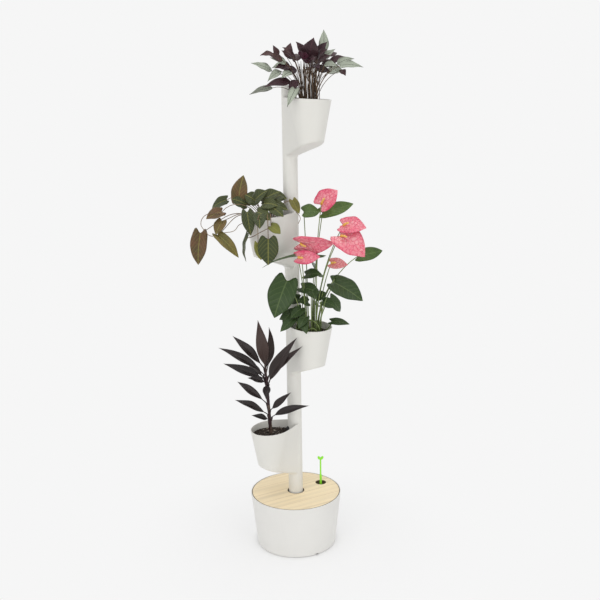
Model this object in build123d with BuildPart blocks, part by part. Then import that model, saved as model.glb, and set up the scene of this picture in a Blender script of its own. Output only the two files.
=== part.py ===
"""Self-watering vertical planter: a tank, four stacked pot modules and their plants.

Millimetres. The origin is the middle of the tank's underside, on the column's axis.
+Z is up and the front faces -Y. Modules are numbered from the top.
"""

import os
from math import acos, cos, radians, sin, sqrt, tan

from build123d import *

# Column and modules
COLUMN_RADIUS = 20.0
COLUMN_WALL = 3.5
SEAM_CHAMFER = 0.5
MODULE_PITCH = 298.0
FIRST_SEAM = 93.0
MODULE_AZIMUTHS = {1: -46.0, 2: -152.0, 3: -49.0, 4: -156.0}

# Socket at the top of each tube and spigot at its foot
SOCKET_DEPTH = 30.0
SOCKET_WALL = 2.5
SPIGOT_LENGTH = 28.0
SPIGOT_WALL = 2.9
SPIGOT_CLEARANCE = 0.1

# Pot
POT_OFFSET = 73.0
POT_RIM_RADIUS = 58.7
POT_FOOT_RADIUS = 35.8
POT_DEPTH = 122.4
POT_WALL = 2.6
POT_FLOOR = 3.0
RIM_FALL = 5.0
FLOOR_RISE = 20.0
POT_EDGE_RADIUS = 7.0
RIM_ROUND = 0.9
NOSE_INSET = 0.5
NECK_RADIUS = 14.0
NECK_INSET = 1.5

# Soil and plants
SOIL_DROP = 18.5
SOIL_CLEARANCE = 0.3
LEAF_THICKNESS = 1.2
LEAF_CLEARANCE = 0.6
SMALLEST_CUTTING = 60.0

# Riser, nozzle and drain
RISER_RADIUS = 4.5
RISER_BORE = 3.0
CUP_WALL = 1.9
CUP_DEPTH = 10.0
CUP_CLEARANCE = 0.1
CUP_BELOW_SOCKET = 1.0
NOZZLE_RADIUS = 3.5
NOZZLE_BORE = 1.5
NOZZLE_DROP = 17.0
NOZZLE_FLANGE = 6.0
NOZZLE_REACH = 7.0
STRAINER_RADIUS = 5.0
STRAINER_FLANGE = 7.5
STRAINER_SLOT = 1.4
HOLE_CLEARANCE = 0.1
FLANGE_THICKNESS = 2.0
FLANGE_GAP = 0.3

# Tank and lid
TANK_HEIGHT = 152.0
TANK_FOOT_RADIUS = 112.5
TANK_RIM_RADIUS = 129.5
TANK_WALL = 2.5
TANK_FLOOR = 3.0
FOOT_RING_HEIGHT = 8.0
FOOT_RING_WIDTH = 9.0
FOOT_RING_ROUND = 5.0
LEDGE_WIDTH = 6.0
LEDGE_THICKNESS = 3.0
LID_THICKNESS = 12.0
LID_GAP = 1.0
LID_CHAMFER = 0.8
LID_COLUMN_GAP = 3.5
NOTCH_WIDTH = 10.0
NOTCH_HEIGHT = 5.0
NOTCH_AZIMUTH = -60.0
GLAND_RADIUS = 4.5
GLAND_FLANGE = 7.0
GLAND_BORE = 2.5
GLAND_INSET = 18.0

# Post
POST_FLANGE = 38.0
POST_FLANGE_THICKNESS = 4.0
POST_BORE = 16.5
WINDOW_WIDTH = 14.0
WINDOW_HEIGHT = 16.0
GUSSET_THICKNESS = 3.0
GUSSET_HEIGHT = 35.0
HUB_WALL = 2.5
HUB_HEIGHT = 5.0
HUB_ARM = 3.0

# Pump and hose
PUMP_OFFSET = 70.0
PUMP_LENGTH = 44.0
PUMP_WIDTH = 36.0
PUMP_HEIGHT = 38.0
PUMP_ROUND = 5.0
CUP_FOOT_RADIUS = 7.0
CUP_FOOT_TOP = 3.5
CUP_FOOT_HEIGHT = 5.0
CHAMBER_RADIUS = 11.0
CHAMBER_DEPTH = 26.0
ROTOR_RADIUS = 7.5
IMPELLER_RADIUS = 9.5
IMPELLER_BLADES = 6
ROTOR_END_GAP = 1.0
SHAFT_RADIUS = 1.2
SHAFT_CLEARANCE = 0.05
COVER_THICKNESS = 4.0
COVER_MARGIN = 4.0
GRILLE_SLOT = 2.0
OUTLET_HEIGHT = 14.0
OUTLET_RADIUS = 3.1
OUTLET_LENGTH = 12.0
HOSE_RADIUS = 4.5
HOSE_BORE = 3.2
HOSE_BEND = 12.0

# Level indicator
FILL_RADIUS = 89.0
FILL_AZIMUTH = 34.0
FILL_HOLE_RADIUS = 15.0
GUIDE_RADIUS = 17.3
GUIDE_WALL = 1.8
GUIDE_BELOW_LID = 12.0
GUIDE_SLOT = 6.0
FLOAT_CLEARANCE = 0.6
FLOAT_HEIGHT = 30.0
FLOAT_TRAVEL = 78.0
STEM_RADIUS = 2.3
STEM_SLEEVE_RADIUS = 3.3
STEM_SLEEVE_HEIGHT = 24.0
STEM_ABOVE_LID = 73.0
SPROUT_LENGTH = 13.0
SPROUT_WIDTH = 8.0
SPROUT_LEAN = 38.0

# Sizes that follow from the ones above
TANK_FLOOR_TOP = FOOT_RING_HEIGHT + TANK_FLOOR
LID_UNDER = TANK_HEIGHT - LID_THICKNESS
RIM_AT_COLUMN = MODULE_PITCH - SOCKET_DEPTH
RIM_AT_POT = RIM_AT_COLUMN - POT_OFFSET * tan(radians(RIM_FALL))
FLOOR_AT_POT = RIM_AT_POT - POT_DEPTH
POT_TAPER = (POT_RIM_RADIUS - POT_FOOT_RADIUS) / POT_DEPTH
NOSE_RADIUS = COLUMN_RADIUS - NOSE_INSET
NECK_LEVEL = FLOOR_AT_POT - (POT_OFFSET - COLUMN_RADIUS) * tan(radians(FLOOR_RISE)) - 0.7 * NECK_RADIUS
LOFT_LOW = FLOOR_AT_POT - 40.0
LOFT_HIGH = RIM_AT_COLUMN + 12.0
SOCKET_RADIUS = COLUMN_RADIUS - SOCKET_WALL
SPIGOT_RADIUS = SOCKET_RADIUS - SPIGOT_CLEARANCE
COLUMN_BORE = COLUMN_RADIUS - COLUMN_WALL
SOIL_LEVEL = RIM_AT_POT - SOIL_DROP
CUP_TOP = RIM_AT_COLUMN - CUP_BELOW_SOCKET
CUP_FLOOR = CUP_TOP - CUP_DEPTH
RISER_FOOT = CUP_FLOOR - MODULE_PITCH
CUP_RADIUS = RISER_RADIUS + CUP_WALL
NOZZLE_LEVEL = RIM_AT_COLUMN - NOZZLE_DROP
DRAIN_FLOOR = FLOOR_AT_POT + POT_FLOOR - (POT_OFFSET - COLUMN_RADIUS) * tan(radians(FLOOR_RISE))
STRAINER_LEVEL = DRAIN_FLOOR + STRAINER_FLANGE + 2.5
LID_RADIUS = TANK_RIM_RADIUS - TANK_WALL - LID_GAP
GUIDE_TOP = LID_UNDER - GUIDE_BELOW_LID
FLOAT_RADIUS = GUIDE_RADIUS - GUIDE_WALL - FLOAT_CLEARANCE
FLOAT_FOOT = TANK_FLOOR_TOP + 1.0 + FLOAT_TRAVEL
FLOAT_TOP = FLOAT_FOOT + FLOAT_HEIGHT
HOSE_LEVEL = TANK_FLOOR_TOP + OUTLET_HEIGHT
BASE_CUP_TOP = FIRST_SEAM - SOCKET_DEPTH - CUP_BELOW_SOCKET
BASE_CUP_FLOOR = BASE_CUP_TOP - CUP_DEPTH


def module_place(number):
    """Where a module's own frame stands: lower seam on the column's axis, +X through the pot."""
    turn = radians(MODULE_AZIMUTHS[number])
    seam = FIRST_SEAM + (4 - number) * MODULE_PITCH
    return Location(Plane(origin=(0, 0, seam), x_dir=(cos(turn), sin(turn), 0), z_dir=(0, 0, 1)))


def sloping_plane(x, z, climb):
    """A plane across the pot that climbs outward by the given angle."""
    rise = radians(climb)
    return Plane(origin=(x, 0, z), x_dir=(cos(rise), 0, sin(rise)), z_dir=(-sin(rise), 0, cos(rise)))


def pot_radius(height):
    """The pot's outside radius at a height in the module's frame."""
    return POT_RIM_RADIUS - (RIM_AT_POT - height) * POT_TAPER


def teardrop(round_pot, round_column):
    """Outline round the pot and the column, joined by straight tangent walls."""
    lean = acos((round_column - round_pot) / POT_OFFSET)
    pot_x = POT_OFFSET + round_pot * cos(lean)
    pot_y = round_pot * sin(lean)
    column_x = round_column * cos(lean)
    column_y = round_column * sin(lean)
    with BuildSketch() as outline:
        with BuildLine():
            Line((column_x, -column_y), (pot_x, -pot_y))
            ThreePointArc((pot_x, -pot_y), (POT_OFFSET + round_pot, 0), (pot_x, pot_y))
            Line((pot_x, pot_y), (column_x, column_y))
            ThreePointArc((column_x, column_y), (-round_column, 0), (column_x, -column_y))
        make_face()
    return outline.sketch


def pot_solid(inset, floor_lift, rim_lift):
    """The pot's tapered body, drawn in from the outside and between a floor and a rim plane."""
    with BuildPart() as body:
        for height in (LOFT_LOW, LOFT_HIGH):
            with BuildSketch(Plane.XY.offset(height)):
                add(teardrop(pot_radius(height) - inset, NOSE_RADIUS - inset))
        loft(ruled=True)
        split(bisect_by=sloping_plane(POT_OFFSET, FLOOR_AT_POT + floor_lift, FLOOR_RISE), keep=Keep.TOP)
        split(bisect_by=sloping_plane(POT_OFFSET, RIM_AT_POT + rim_lift, -RIM_FALL), keep=Keep.BOTTOM)
    return body.part


def polygon(points):
    """A closed face from straight edges."""
    with BuildSketch() as outline:
        with BuildLine():
            Polyline(*points, close=True)
        make_face()
    return outline.sketch


# Pot shell, drawn once in the module's frame
with BuildPart() as pot_wall:
    add(pot_solid(0, 0, 0))
    fillet(pot_wall.faces().sort_by(Axis.Z)[0].edges(), radius=POT_EDGE_RADIUS)
    fillet(pot_wall.faces().sort_by(Axis.Z)[-1].edges(), radius=RIM_ROUND)
    add(pot_solid(POT_WALL, POT_FLOOR, 20), mode=Mode.SUBTRACT)

# Neck that sweeps from the column into the pot's floor
with BuildPart() as neck_flare:
    for turn in (0, 20, 40, 55, 70, 80):
        swell = NECK_RADIUS * (1 - cos(radians(turn)))
        with BuildSketch(Plane.XY.offset(NECK_LEVEL + NECK_RADIUS * sin(radians(turn)))):
            with Locations((0.4 + swell / 2, 0)):
                Circle(COLUMN_RADIUS - 0.5 + swell / 2)
    loft()
    add(pot_solid(NECK_INSET, -60, 0), mode=Mode.INTERSECT)
    add(pot_solid(POT_WALL, POT_FLOOR, 20), mode=Mode.SUBTRACT)

with BuildPart() as shell:
    with BuildSketch(Plane.XZ):
        add(
            polygon(
                [
                    (0, -SPIGOT_LENGTH),
                    (SPIGOT_RADIUS, -SPIGOT_LENGTH),
                    (SPIGOT_RADIUS, 0),
                    (COLUMN_RADIUS - SEAM_CHAMFER, 0),
                    (COLUMN_RADIUS, SEAM_CHAMFER),
                    (COLUMN_RADIUS, MODULE_PITCH - SEAM_CHAMFER),
                    (COLUMN_RADIUS - SEAM_CHAMFER, MODULE_PITCH),
                    (0, MODULE_PITCH),
                ]
            )
        )
    revolve(axis=Axis.Z)
    add(pot_wall.part)
    add(neck_flare.part)
    with BuildSketch(Plane.XZ):
        neck = SPIGOT_RADIUS - SPIGOT_WALL
        add(
            polygon(
                [
                    (0, -SPIGOT_LENGTH - 1),
                    (neck, -SPIGOT_LENGTH - 1),
                    (neck, 4),
                    (COLUMN_BORE, 8),
                    (COLUMN_BORE, RIM_AT_COLUMN),
                    (SOCKET_RADIUS, RIM_AT_COLUMN),
                    (SOCKET_RADIUS, MODULE_PITCH + 1),
                    (0, MODULE_PITCH + 1),
                ]
            )
        )
    revolve(axis=Axis.Z, mode=Mode.SUBTRACT)
    with BuildSketch(Plane.YZ):
        with Locations((0, NOZZLE_LEVEL)):
            Circle(NOZZLE_RADIUS + HOLE_CLEARANCE)
        with Locations((0, STRAINER_LEVEL)):
            Circle(STRAINER_RADIUS + HOLE_CLEARANCE)
    extrude(amount=COLUMN_RADIUS + 1, mode=Mode.SUBTRACT)

# Riser with the cup that takes the next one
with BuildPart() as riser:
    with BuildSketch(Plane.XZ):
        add(
            polygon(
                [
                    (RISER_BORE, RISER_FOOT),
                    (RISER_RADIUS, RISER_FOOT),
                    (RISER_RADIUS, CUP_FLOOR - 1),
                    (CUP_RADIUS, CUP_FLOOR - 1),
                    (CUP_RADIUS, CUP_TOP),
                    (RISER_RADIUS + CUP_CLEARANCE, CUP_TOP),
                    (RISER_RADIUS + CUP_CLEARANCE, CUP_FLOOR),
                    (RISER_BORE, CUP_FLOOR),
                ]
            )
        )
    revolve(axis=Axis.Z)
    with BuildSketch(Plane.YZ):
        with Locations((0, NOZZLE_LEVEL)):
            Circle(NOZZLE_BORE)
    extrude(amount=RISER_RADIUS + 1, mode=Mode.SUBTRACT)

# Drip nozzle
with BuildPart() as nozzle:
    nozzle_start = RISER_RADIUS + FLANGE_GAP
    with BuildSketch(Plane.YZ.offset(nozzle_start)):
        with Locations((0, NOZZLE_LEVEL)):
            Circle(NOZZLE_RADIUS)
    extrude(amount=COLUMN_RADIUS + NOZZLE_REACH - nozzle_start)
    with BuildSketch(Plane.YZ.offset(COLUMN_RADIUS + FLANGE_GAP)):
        with Locations((0, NOZZLE_LEVEL)):
            Circle(NOZZLE_FLANGE)
    extrude(amount=FLANGE_THICKNESS)
    with BuildSketch(Plane.YZ.offset(nozzle_start)):
        with Locations((0, NOZZLE_LEVEL)):
            Circle(NOZZLE_BORE)
    extrude(amount=COLUMN_RADIUS + NOZZLE_REACH, mode=Mode.SUBTRACT)

# Drain strainer
with BuildPart() as strainer:
    with BuildSketch(Plane.YZ.offset(COLUMN_BORE + FLANGE_GAP)):
        with Locations((0, STRAINER_LEVEL)):
            Circle(STRAINER_RADIUS)
    extrude(amount=COLUMN_WALL)
    with BuildSketch(Plane.YZ.offset(COLUMN_RADIUS + FLANGE_GAP)):
        with Locations((0, STRAINER_LEVEL)):
            Circle(STRAINER_FLANGE)
    extrude(amount=FLANGE_THICKNESS)
    with BuildSketch(Plane.YZ.offset(COLUMN_BORE)):
        with Locations((0, STRAINER_LEVEL)):
            with GridLocations(2.2 * STRAINER_SLOT, 1, 3, 1):
                SlotOverall(1.4 * STRAINER_RADIUS, STRAINER_SLOT, rotation=90)
    extrude(amount=COLUMN_WALL + 2 * FLANGE_THICKNESS, mode=Mode.SUBTRACT)

# Soil
with BuildPart() as soil:
    add(pot_solid(POT_WALL + SOIL_CLEARANCE, POT_FLOOR + SOIL_CLEARANCE, 0))
    split(bisect_by=Plane.XY.offset(SOIL_LEVEL), keep=Keep.BOTTOM)
    with BuildSketch(Plane.XY):
        Circle(COLUMN_RADIUS + SOIL_CLEARANCE)
    extrude(amount=MODULE_PITCH, mode=Mode.SUBTRACT)
    with BuildSketch(Plane.YZ):
        with Locations((0, STRAINER_LEVEL)):
            Circle(STRAINER_FLANGE + FLANGE_GAP)
    extrude(amount=COLUMN_RADIUS + FLANGE_THICKNESS + 2 * FLANGE_GAP, mode=Mode.SUBTRACT)


def place(piece, number):
    """A copy of a piece drawn in the module's frame, at a module's place."""
    with BuildPart() as placed:
        with Locations(module_place(number)):
            add(piece.part)
    return placed.part


# Tank
with BuildPart() as tank_shell:
    flare = (TANK_RIM_RADIUS - TANK_FOOT_RADIUS) / TANK_HEIGHT
    with BuildSketch(Plane.XZ) as tank_profile:
        add(
            polygon(
                [
                    (TANK_FOOT_RADIUS - FOOT_RING_WIDTH, 0),
                    (TANK_FOOT_RADIUS, 0),
                    (TANK_RIM_RADIUS, TANK_HEIGHT),
                    (TANK_RIM_RADIUS - TANK_WALL, TANK_HEIGHT),
                    (TANK_RIM_RADIUS - TANK_WALL, LID_UNDER),
                    (TANK_RIM_RADIUS - TANK_WALL - LEDGE_WIDTH, LID_UNDER),
                    (TANK_RIM_RADIUS - TANK_WALL - LEDGE_WIDTH, LID_UNDER - LEDGE_THICKNESS),
                    (
                        TANK_RIM_RADIUS - TANK_WALL - flare * (TANK_HEIGHT - LID_UNDER + LEDGE_WIDTH),
                        LID_UNDER - LEDGE_THICKNESS - LEDGE_WIDTH,
                    ),
                    (TANK_FOOT_RADIUS + flare * TANK_FLOOR_TOP - TANK_WALL, TANK_FLOOR_TOP),
                    (0, TANK_FLOOR_TOP),
                    (0, FOOT_RING_HEIGHT),
                    (TANK_FOOT_RADIUS - FOOT_RING_WIDTH, FOOT_RING_HEIGHT),
                ]
            )
        )
        outer_foot = tank_profile.vertices().sort_by(Axis.X).filter_by(lambda v: abs(v.Y) < 0.01)[-1]
        fillet(outer_foot, radius=FOOT_RING_ROUND)
    revolve(axis=Axis.Z)
    with BuildSketch(Plane.XY.rotated((0, 0, NOTCH_AZIMUTH))):
        with Locations((TANK_FOOT_RADIUS, 0)):
            Rectangle(3 * FOOT_RING_WIDTH, NOTCH_WIDTH)
    extrude(amount=NOTCH_HEIGHT, mode=Mode.SUBTRACT)
    with BuildSketch(Plane.XY.rotated((0, 0, NOTCH_AZIMUTH))):
        with Locations((TANK_FOOT_RADIUS - GLAND_INSET, 0)):
            Circle(GLAND_RADIUS + HOLE_CLEARANCE)
    extrude(amount=TANK_FLOOR_TOP + 1, mode=Mode.SUBTRACT)

# Wooden lid
with BuildPart() as tank_lid:
    with BuildSketch(Plane.XY.offset(LID_UNDER)):
        Circle(LID_RADIUS)
        Circle(COLUMN_RADIUS + LID_COLUMN_GAP, mode=Mode.SUBTRACT)
        with PolarLocations(FILL_RADIUS, 1, start_angle=FILL_AZIMUTH):
            Circle(FILL_HOLE_RADIUS, mode=Mode.SUBTRACT)
    extrude(amount=LID_THICKNESS)
    chamfer(tank_lid.faces().sort_by(Axis.Z)[-1].outer_wire().edges(), length=LID_CHAMFER)

# Cable gland in the tank's floor
with BuildPart() as cable_gland:
    gland_plane = Plane.XY.rotated((0, 0, NOTCH_AZIMUTH))
    gland_levels = [
        (FOOT_RING_HEIGHT - 1.5, GLAND_FLANGE - 0.5, 1.5),
        (FOOT_RING_HEIGHT, GLAND_RADIUS, TANK_FLOOR),
        (TANK_FLOOR_TOP, GLAND_FLANGE, 1.5),
    ]
    for level, radius, height in gland_levels:
        with BuildSketch(gland_plane.offset(level)):
            with Locations((TANK_FOOT_RADIUS - GLAND_INSET, 0)):
                Circle(radius)
                Circle(GLAND_BORE, mode=Mode.SUBTRACT)
        extrude(amount=height)

# Post that holds the column in the tank
with BuildPart() as column_post:
    with BuildSketch(Plane.XY.offset(TANK_FLOOR_TOP)):
        Circle(POST_FLANGE)
    extrude(amount=POST_FLANGE_THICKNESS)
    with BuildSketch(Plane.XY.offset(TANK_FLOOR_TOP)):
        Circle(COLUMN_RADIUS)
    extrude(amount=FIRST_SEAM - TANK_FLOOR_TOP)
    gusset_foot = TANK_FLOOR_TOP + POST_FLANGE_THICKNESS
    for turn in (45, 135):
        with BuildSketch(Plane.XZ.rotated((0, 0, turn))):
            add(
                polygon(
                    [
                        (-POST_FLANGE, gusset_foot),
                        (POST_FLANGE, gusset_foot),
                        (COLUMN_RADIUS - 1, gusset_foot + GUSSET_HEIGHT),
                        (1 - COLUMN_RADIUS, gusset_foot + GUSSET_HEIGHT),
                    ]
                )
            )
        extrude(amount=GUSSET_THICKNESS / 2, both=True)
    with BuildSketch(Plane.XZ):
        add(
            polygon(
                [
                    (0, TANK_FLOOR_TOP + POST_FLANGE_THICKNESS),
                    (POST_BORE, TANK_FLOOR_TOP + POST_FLANGE_THICKNESS),
                    (POST_BORE, FIRST_SEAM - SOCKET_DEPTH),
                    (SOCKET_RADIUS, FIRST_SEAM - SOCKET_DEPTH),
                    (SOCKET_RADIUS, FIRST_SEAM + 1),
                    (0, FIRST_SEAM + 1),
                ]
            )
        )
    revolve(axis=Axis.Z, mode=Mode.SUBTRACT)
    for window_plane in (Plane.XZ, Plane.YZ):
        with BuildSketch(window_plane):
            with Locations((0, HOSE_LEVEL)):
                Rectangle(WINDOW_WIDTH, WINDOW_HEIGHT)
        extrude(amount=COLUMN_RADIUS + 1, both=True, mode=Mode.SUBTRACT)
    hub_foot = BASE_CUP_TOP - HUB_HEIGHT
    with BuildSketch(Plane.XY.offset(hub_foot)):
        Circle(CUP_RADIUS + HOLE_CLEARANCE + HUB_WALL)
        with PolarLocations(0, 3, start_angle=90):
            with Locations((COLUMN_RADIUS / 2, 0)):
                Rectangle(COLUMN_RADIUS - 2, HUB_ARM)
        Circle(CUP_RADIUS + HOLE_CLEARANCE, mode=Mode.SUBTRACT)
    extrude(amount=HUB_HEIGHT)

# Hose coupler under the first riser
with BuildPart() as hose_coupler:
    with BuildSketch(Plane.XZ):
        add(
            polygon(
                [
                    (RISER_RADIUS + CUP_CLEARANCE, BASE_CUP_FLOOR - 2 - CUP_DEPTH),
                    (CUP_RADIUS, BASE_CUP_FLOOR - 2 - CUP_DEPTH),
                    (CUP_RADIUS, BASE_CUP_TOP),
                    (RISER_RADIUS + CUP_CLEARANCE, BASE_CUP_TOP),
                    (RISER_RADIUS + CUP_CLEARANCE, BASE_CUP_FLOOR),
                    (RISER_BORE, BASE_CUP_FLOOR),
                    (RISER_BORE, BASE_CUP_FLOOR - 2),
                    (RISER_RADIUS + CUP_CLEARANCE, BASE_CUP_FLOOR - 2),
                ]
            )
        )
    revolve(axis=Axis.Z)

# Supply hose
with BuildPart() as supply_hose:
    hose_start = (PUMP_LENGTH / 2 - PUMP_OFFSET + 1, 0, HOSE_LEVEL)
    with BuildLine() as hose_path:
        FilletPolyline(hose_start, (0, 0, HOSE_LEVEL), (0, 0, BASE_CUP_FLOOR - 2), radius=HOSE_BEND)
    with BuildSketch(Plane(origin=hose_start, z_dir=(1, 0, 0))):
        Circle(HOSE_RADIUS)
        Circle(HOSE_BORE, mode=Mode.SUBTRACT)
    sweep(path=hose_path.line)

# Pump, drawn round the middle of its foot, rotor axis along Y
pump_place = Location((-PUMP_OFFSET, 0, TANK_FLOOR_TOP))
PUMP_FRONT = -PUMP_WIDTH / 2
ROTOR_LEVEL = CUP_FOOT_HEIGHT + PUMP_HEIGHT / 2 - 2
CHAMBER_BACK = PUMP_FRONT + CHAMBER_DEPTH
SHAFT_BACK = CHAMBER_BACK + 4

with BuildPart() as pump_housing_local:
    with BuildSketch(Plane.XY.offset(CUP_FOOT_HEIGHT)):
        RectangleRounded(PUMP_LENGTH, PUMP_WIDTH, PUMP_ROUND)
    extrude(amount=PUMP_HEIGHT)
    fillet(pump_housing_local.faces().sort_by(Axis.Z)[-1].edges(), radius=PUMP_ROUND / 2)
    with BuildSketch(Plane.YZ):
        with Locations((0, OUTLET_HEIGHT)):
            Circle(OUTLET_RADIUS)
    extrude(amount=PUMP_LENGTH / 2 + OUTLET_LENGTH)
    with BuildSketch(Plane.XZ.offset(-PUMP_FRONT)):
        with Locations((0, ROTOR_LEVEL)):
            Circle(CHAMBER_RADIUS)
    extrude(amount=-CHAMBER_DEPTH, mode=Mode.SUBTRACT)
    with BuildSketch(Plane.XZ.offset(-PUMP_FRONT)):
        with Locations((0, ROTOR_LEVEL)):
            Circle(SHAFT_RADIUS + SHAFT_CLEARANCE)
    extrude(amount=PUMP_FRONT - SHAFT_BACK, mode=Mode.SUBTRACT)
    with BuildSketch(Plane.YZ):
        with Locations((0, OUTLET_HEIGHT)):
            Circle(OUTLET_RADIUS - 1.1)
    extrude(amount=PUMP_LENGTH / 2 + OUTLET_LENGTH + 1, mode=Mode.SUBTRACT)

with BuildPart() as pump_cover_local:
    with BuildSketch(Plane.XZ.offset(-PUMP_FRONT)):
        with Locations((0, CUP_FOOT_HEIGHT + PUMP_HEIGHT / 2)):
            RectangleRounded(PUMP_LENGTH - COVER_MARGIN, PUMP_HEIGHT - COVER_MARGIN, PUMP_ROUND)
        with Locations((0, ROTOR_LEVEL)):
            with PolarLocations(0.62 * CHAMBER_RADIUS, 6):
                SlotOverall(0.6 * CHAMBER_RADIUS, GRILLE_SLOT, mode=Mode.SUBTRACT)
    extrude(amount=COVER_THICKNESS)
    with BuildSketch(Plane.XZ.offset(-PUMP_FRONT)):
        with Locations((0, ROTOR_LEVEL)):
            Circle(SHAFT_RADIUS + SHAFT_CLEARANCE)
    extrude(amount=COVER_THICKNESS / 2, mode=Mode.SUBTRACT)

with BuildPart() as pump_shaft_local:
    with BuildSketch(Plane.XZ.offset(-PUMP_FRONT + COVER_THICKNESS / 2)):
        with Locations((0, ROTOR_LEVEL)):
            Circle(SHAFT_RADIUS)
    extrude(amount=PUMP_FRONT - COVER_THICKNESS / 2 - SHAFT_BACK)

with BuildPart() as pump_rotor_local:
    rotor_front = PUMP_FRONT + ROTOR_END_GAP
    rotor_length = CHAMBER_DEPTH - 2 * ROTOR_END_GAP
    with BuildSketch(Plane.XZ.offset(-rotor_front - 0.35 * rotor_length)):
        with Locations((0, ROTOR_LEVEL)):
            Circle(ROTOR_RADIUS)
    extrude(amount=-0.65 * rotor_length)
    with BuildSketch(Plane.XZ.offset(-rotor_front)):
        with Locations((0, ROTOR_LEVEL)):
            Circle(0.45 * ROTOR_RADIUS)
            with PolarLocations(0, IMPELLER_BLADES):
                with Locations((IMPELLER_RADIUS / 2, 0)):
                    Rectangle(IMPELLER_RADIUS, 1.2)
    extrude(amount=-0.35 * rotor_length)
    with BuildSketch(Plane.XZ.offset(-rotor_front - 0.25 * rotor_length)):
        with Locations((0, ROTOR_LEVEL)):
            Circle(IMPELLER_RADIUS)
    extrude(amount=-0.1 * rotor_length)
    with BuildSketch(Plane.XZ.offset(-rotor_front)):
        with Locations((0, ROTOR_LEVEL)):
            Circle(SHAFT_RADIUS + SHAFT_CLEARANCE)
    extrude(amount=-rotor_length, mode=Mode.SUBTRACT)

with BuildPart() as pump_cups_local:
    with GridLocations(PUMP_LENGTH - 3 * CUP_FOOT_TOP, PUMP_WIDTH - 3 * CUP_FOOT_TOP, 2, 2):
        Cone(
            CUP_FOOT_RADIUS,
            CUP_FOOT_TOP,
            CUP_FOOT_HEIGHT,
            align=(Align.CENTER, Align.CENTER, Align.MIN),
        )


def place_pump(piece):
    """A copy of a pump piece at the pump's place in the tank."""
    with BuildPart() as placed:
        with Locations(pump_place):
            add(piece.part)
    return placed.part


# Level indicator
fill_x = FILL_RADIUS * cos(radians(FILL_AZIMUTH))
fill_y = FILL_RADIUS * sin(radians(FILL_AZIMUTH))

with BuildPart() as float_guide:
    with BuildSketch(Plane.XY.offset(TANK_FLOOR_TOP)):
        with Locations((fill_x, fill_y)):
            Circle(GUIDE_RADIUS)
            Circle(GUIDE_RADIUS - GUIDE_WALL, mode=Mode.SUBTRACT)
    extrude(amount=GUIDE_TOP - TANK_FLOOR_TOP)
    with BuildSketch(Plane.XY.offset(TANK_FLOOR_TOP + 8)):
        with Locations((fill_x, fill_y)):
            Rectangle(3 * GUIDE_RADIUS, GUIDE_SLOT)
    extrude(amount=GUIDE_TOP - TANK_FLOOR_TOP - 16, mode=Mode.SUBTRACT)

with BuildPart() as float_body:
    with BuildSketch(Plane.XY.offset(FLOAT_FOOT)):
        with Locations((fill_x, fill_y)):
            Circle(FLOAT_RADIUS)
    extrude(amount=FLOAT_HEIGHT)
    fillet(float_body.edges(), radius=2.0)
    with BuildSketch(Plane.XY.offset(FLOAT_TOP - 0.6 * FLOAT_HEIGHT)):
        with Locations((fill_x, fill_y)):
            Circle(STEM_RADIUS + SHAFT_CLEARANCE)
    extrude(amount=FLOAT_HEIGHT, mode=Mode.SUBTRACT)

with BuildPart() as indicator_stem:
    stem_top = TANK_HEIGHT + STEM_ABOVE_LID
    with BuildSketch(Plane.XY.offset(FLOAT_TOP - 0.6 * FLOAT_HEIGHT)):
        with Locations((fill_x, fill_y)):
            Circle(STEM_RADIUS)
    extrude(amount=stem_top - FLOAT_TOP + 0.6 * FLOAT_HEIGHT)
    with BuildSketch(Plane.XY.offset(FLOAT_TOP)):
        with Locations((fill_x, fill_y)):
            Circle(STEM_SLEEVE_RADIUS)
    extrude(amount=TANK_HEIGHT + STEM_SLEEVE_HEIGHT - FLOAT_TOP)
    for side in (1, -1):
        lean = radians(SPROUT_LEAN)
        sprout_plane = Plane(
            origin=(fill_x, fill_y, stem_top - 2),
            x_dir=(side * sin(lean), 0, cos(lean)),
            z_dir=(0, -1, 0),
        )
        with BuildSketch(sprout_plane):
            with BuildLine():
                ThreePointArc((0, 0), (SPROUT_LENGTH / 2, SPROUT_WIDTH / 2), (SPROUT_LENGTH, 0))
                ThreePointArc((SPROUT_LENGTH, 0), (SPROUT_LENGTH / 2, -SPROUT_WIDTH / 2), (0, 0))
            make_face()
        extrude(amount=0.9, both=True)

# Riser plug at the very top
with BuildPart() as plug:
    with BuildSketch(Plane.XY.offset(CUP_FLOOR)):
        Circle(RISER_RADIUS)
    extrude(amount=CUP_DEPTH)


# Plants. Points are (out from the column's axis, across, above the soil) in the module's frame.
# Each leaf row is base, tip, width and turn of the blade away from the light, in degrees.
CANE_TOP = (86, 2, 192)
CANE_RADIUS = 5.0
CORDYLINE_LEAVES = [
    ((86, 3, 180), (100, 10, 335), 33, 0),
    ((84, 0, 178), (60, -27, 302), 22, 30),
    ((86, 2, 188), (160, -48, 285), 25, 0),
    ((85, 1, 170), (208, -38, 255), 25, 10),
    ((85, 2, 160), (205, -4, 225), 25, -10),
    ((84, 1, 150), (140, 4, 178), 19, 0),
    ((80, 0, 88), (148, -66, 142), 22, 0),
    ((77, 0, 54), (168, -32, 100), 22, 10),
    ((76, 1, 42), (134, 8, 64), 17, 0),
    ((82, 2, 140), (30, 105, 292), 33, 0),
    ((84, 3, 166), (24, 115, 276), 22, 15),
    ((76, 2, 48), (-2, 94, 104), 22, 0),
    ((78, 2, 68), (30, 52, 128), 19, 10),
    ((83, 3, 148), (102, 44, 120), 22, 0),
    ((84, 0, 172), (47, -78, 240), 22, 0),
    ((84, 1, 158), (102, -89, 184), 20, 0),
]
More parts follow.
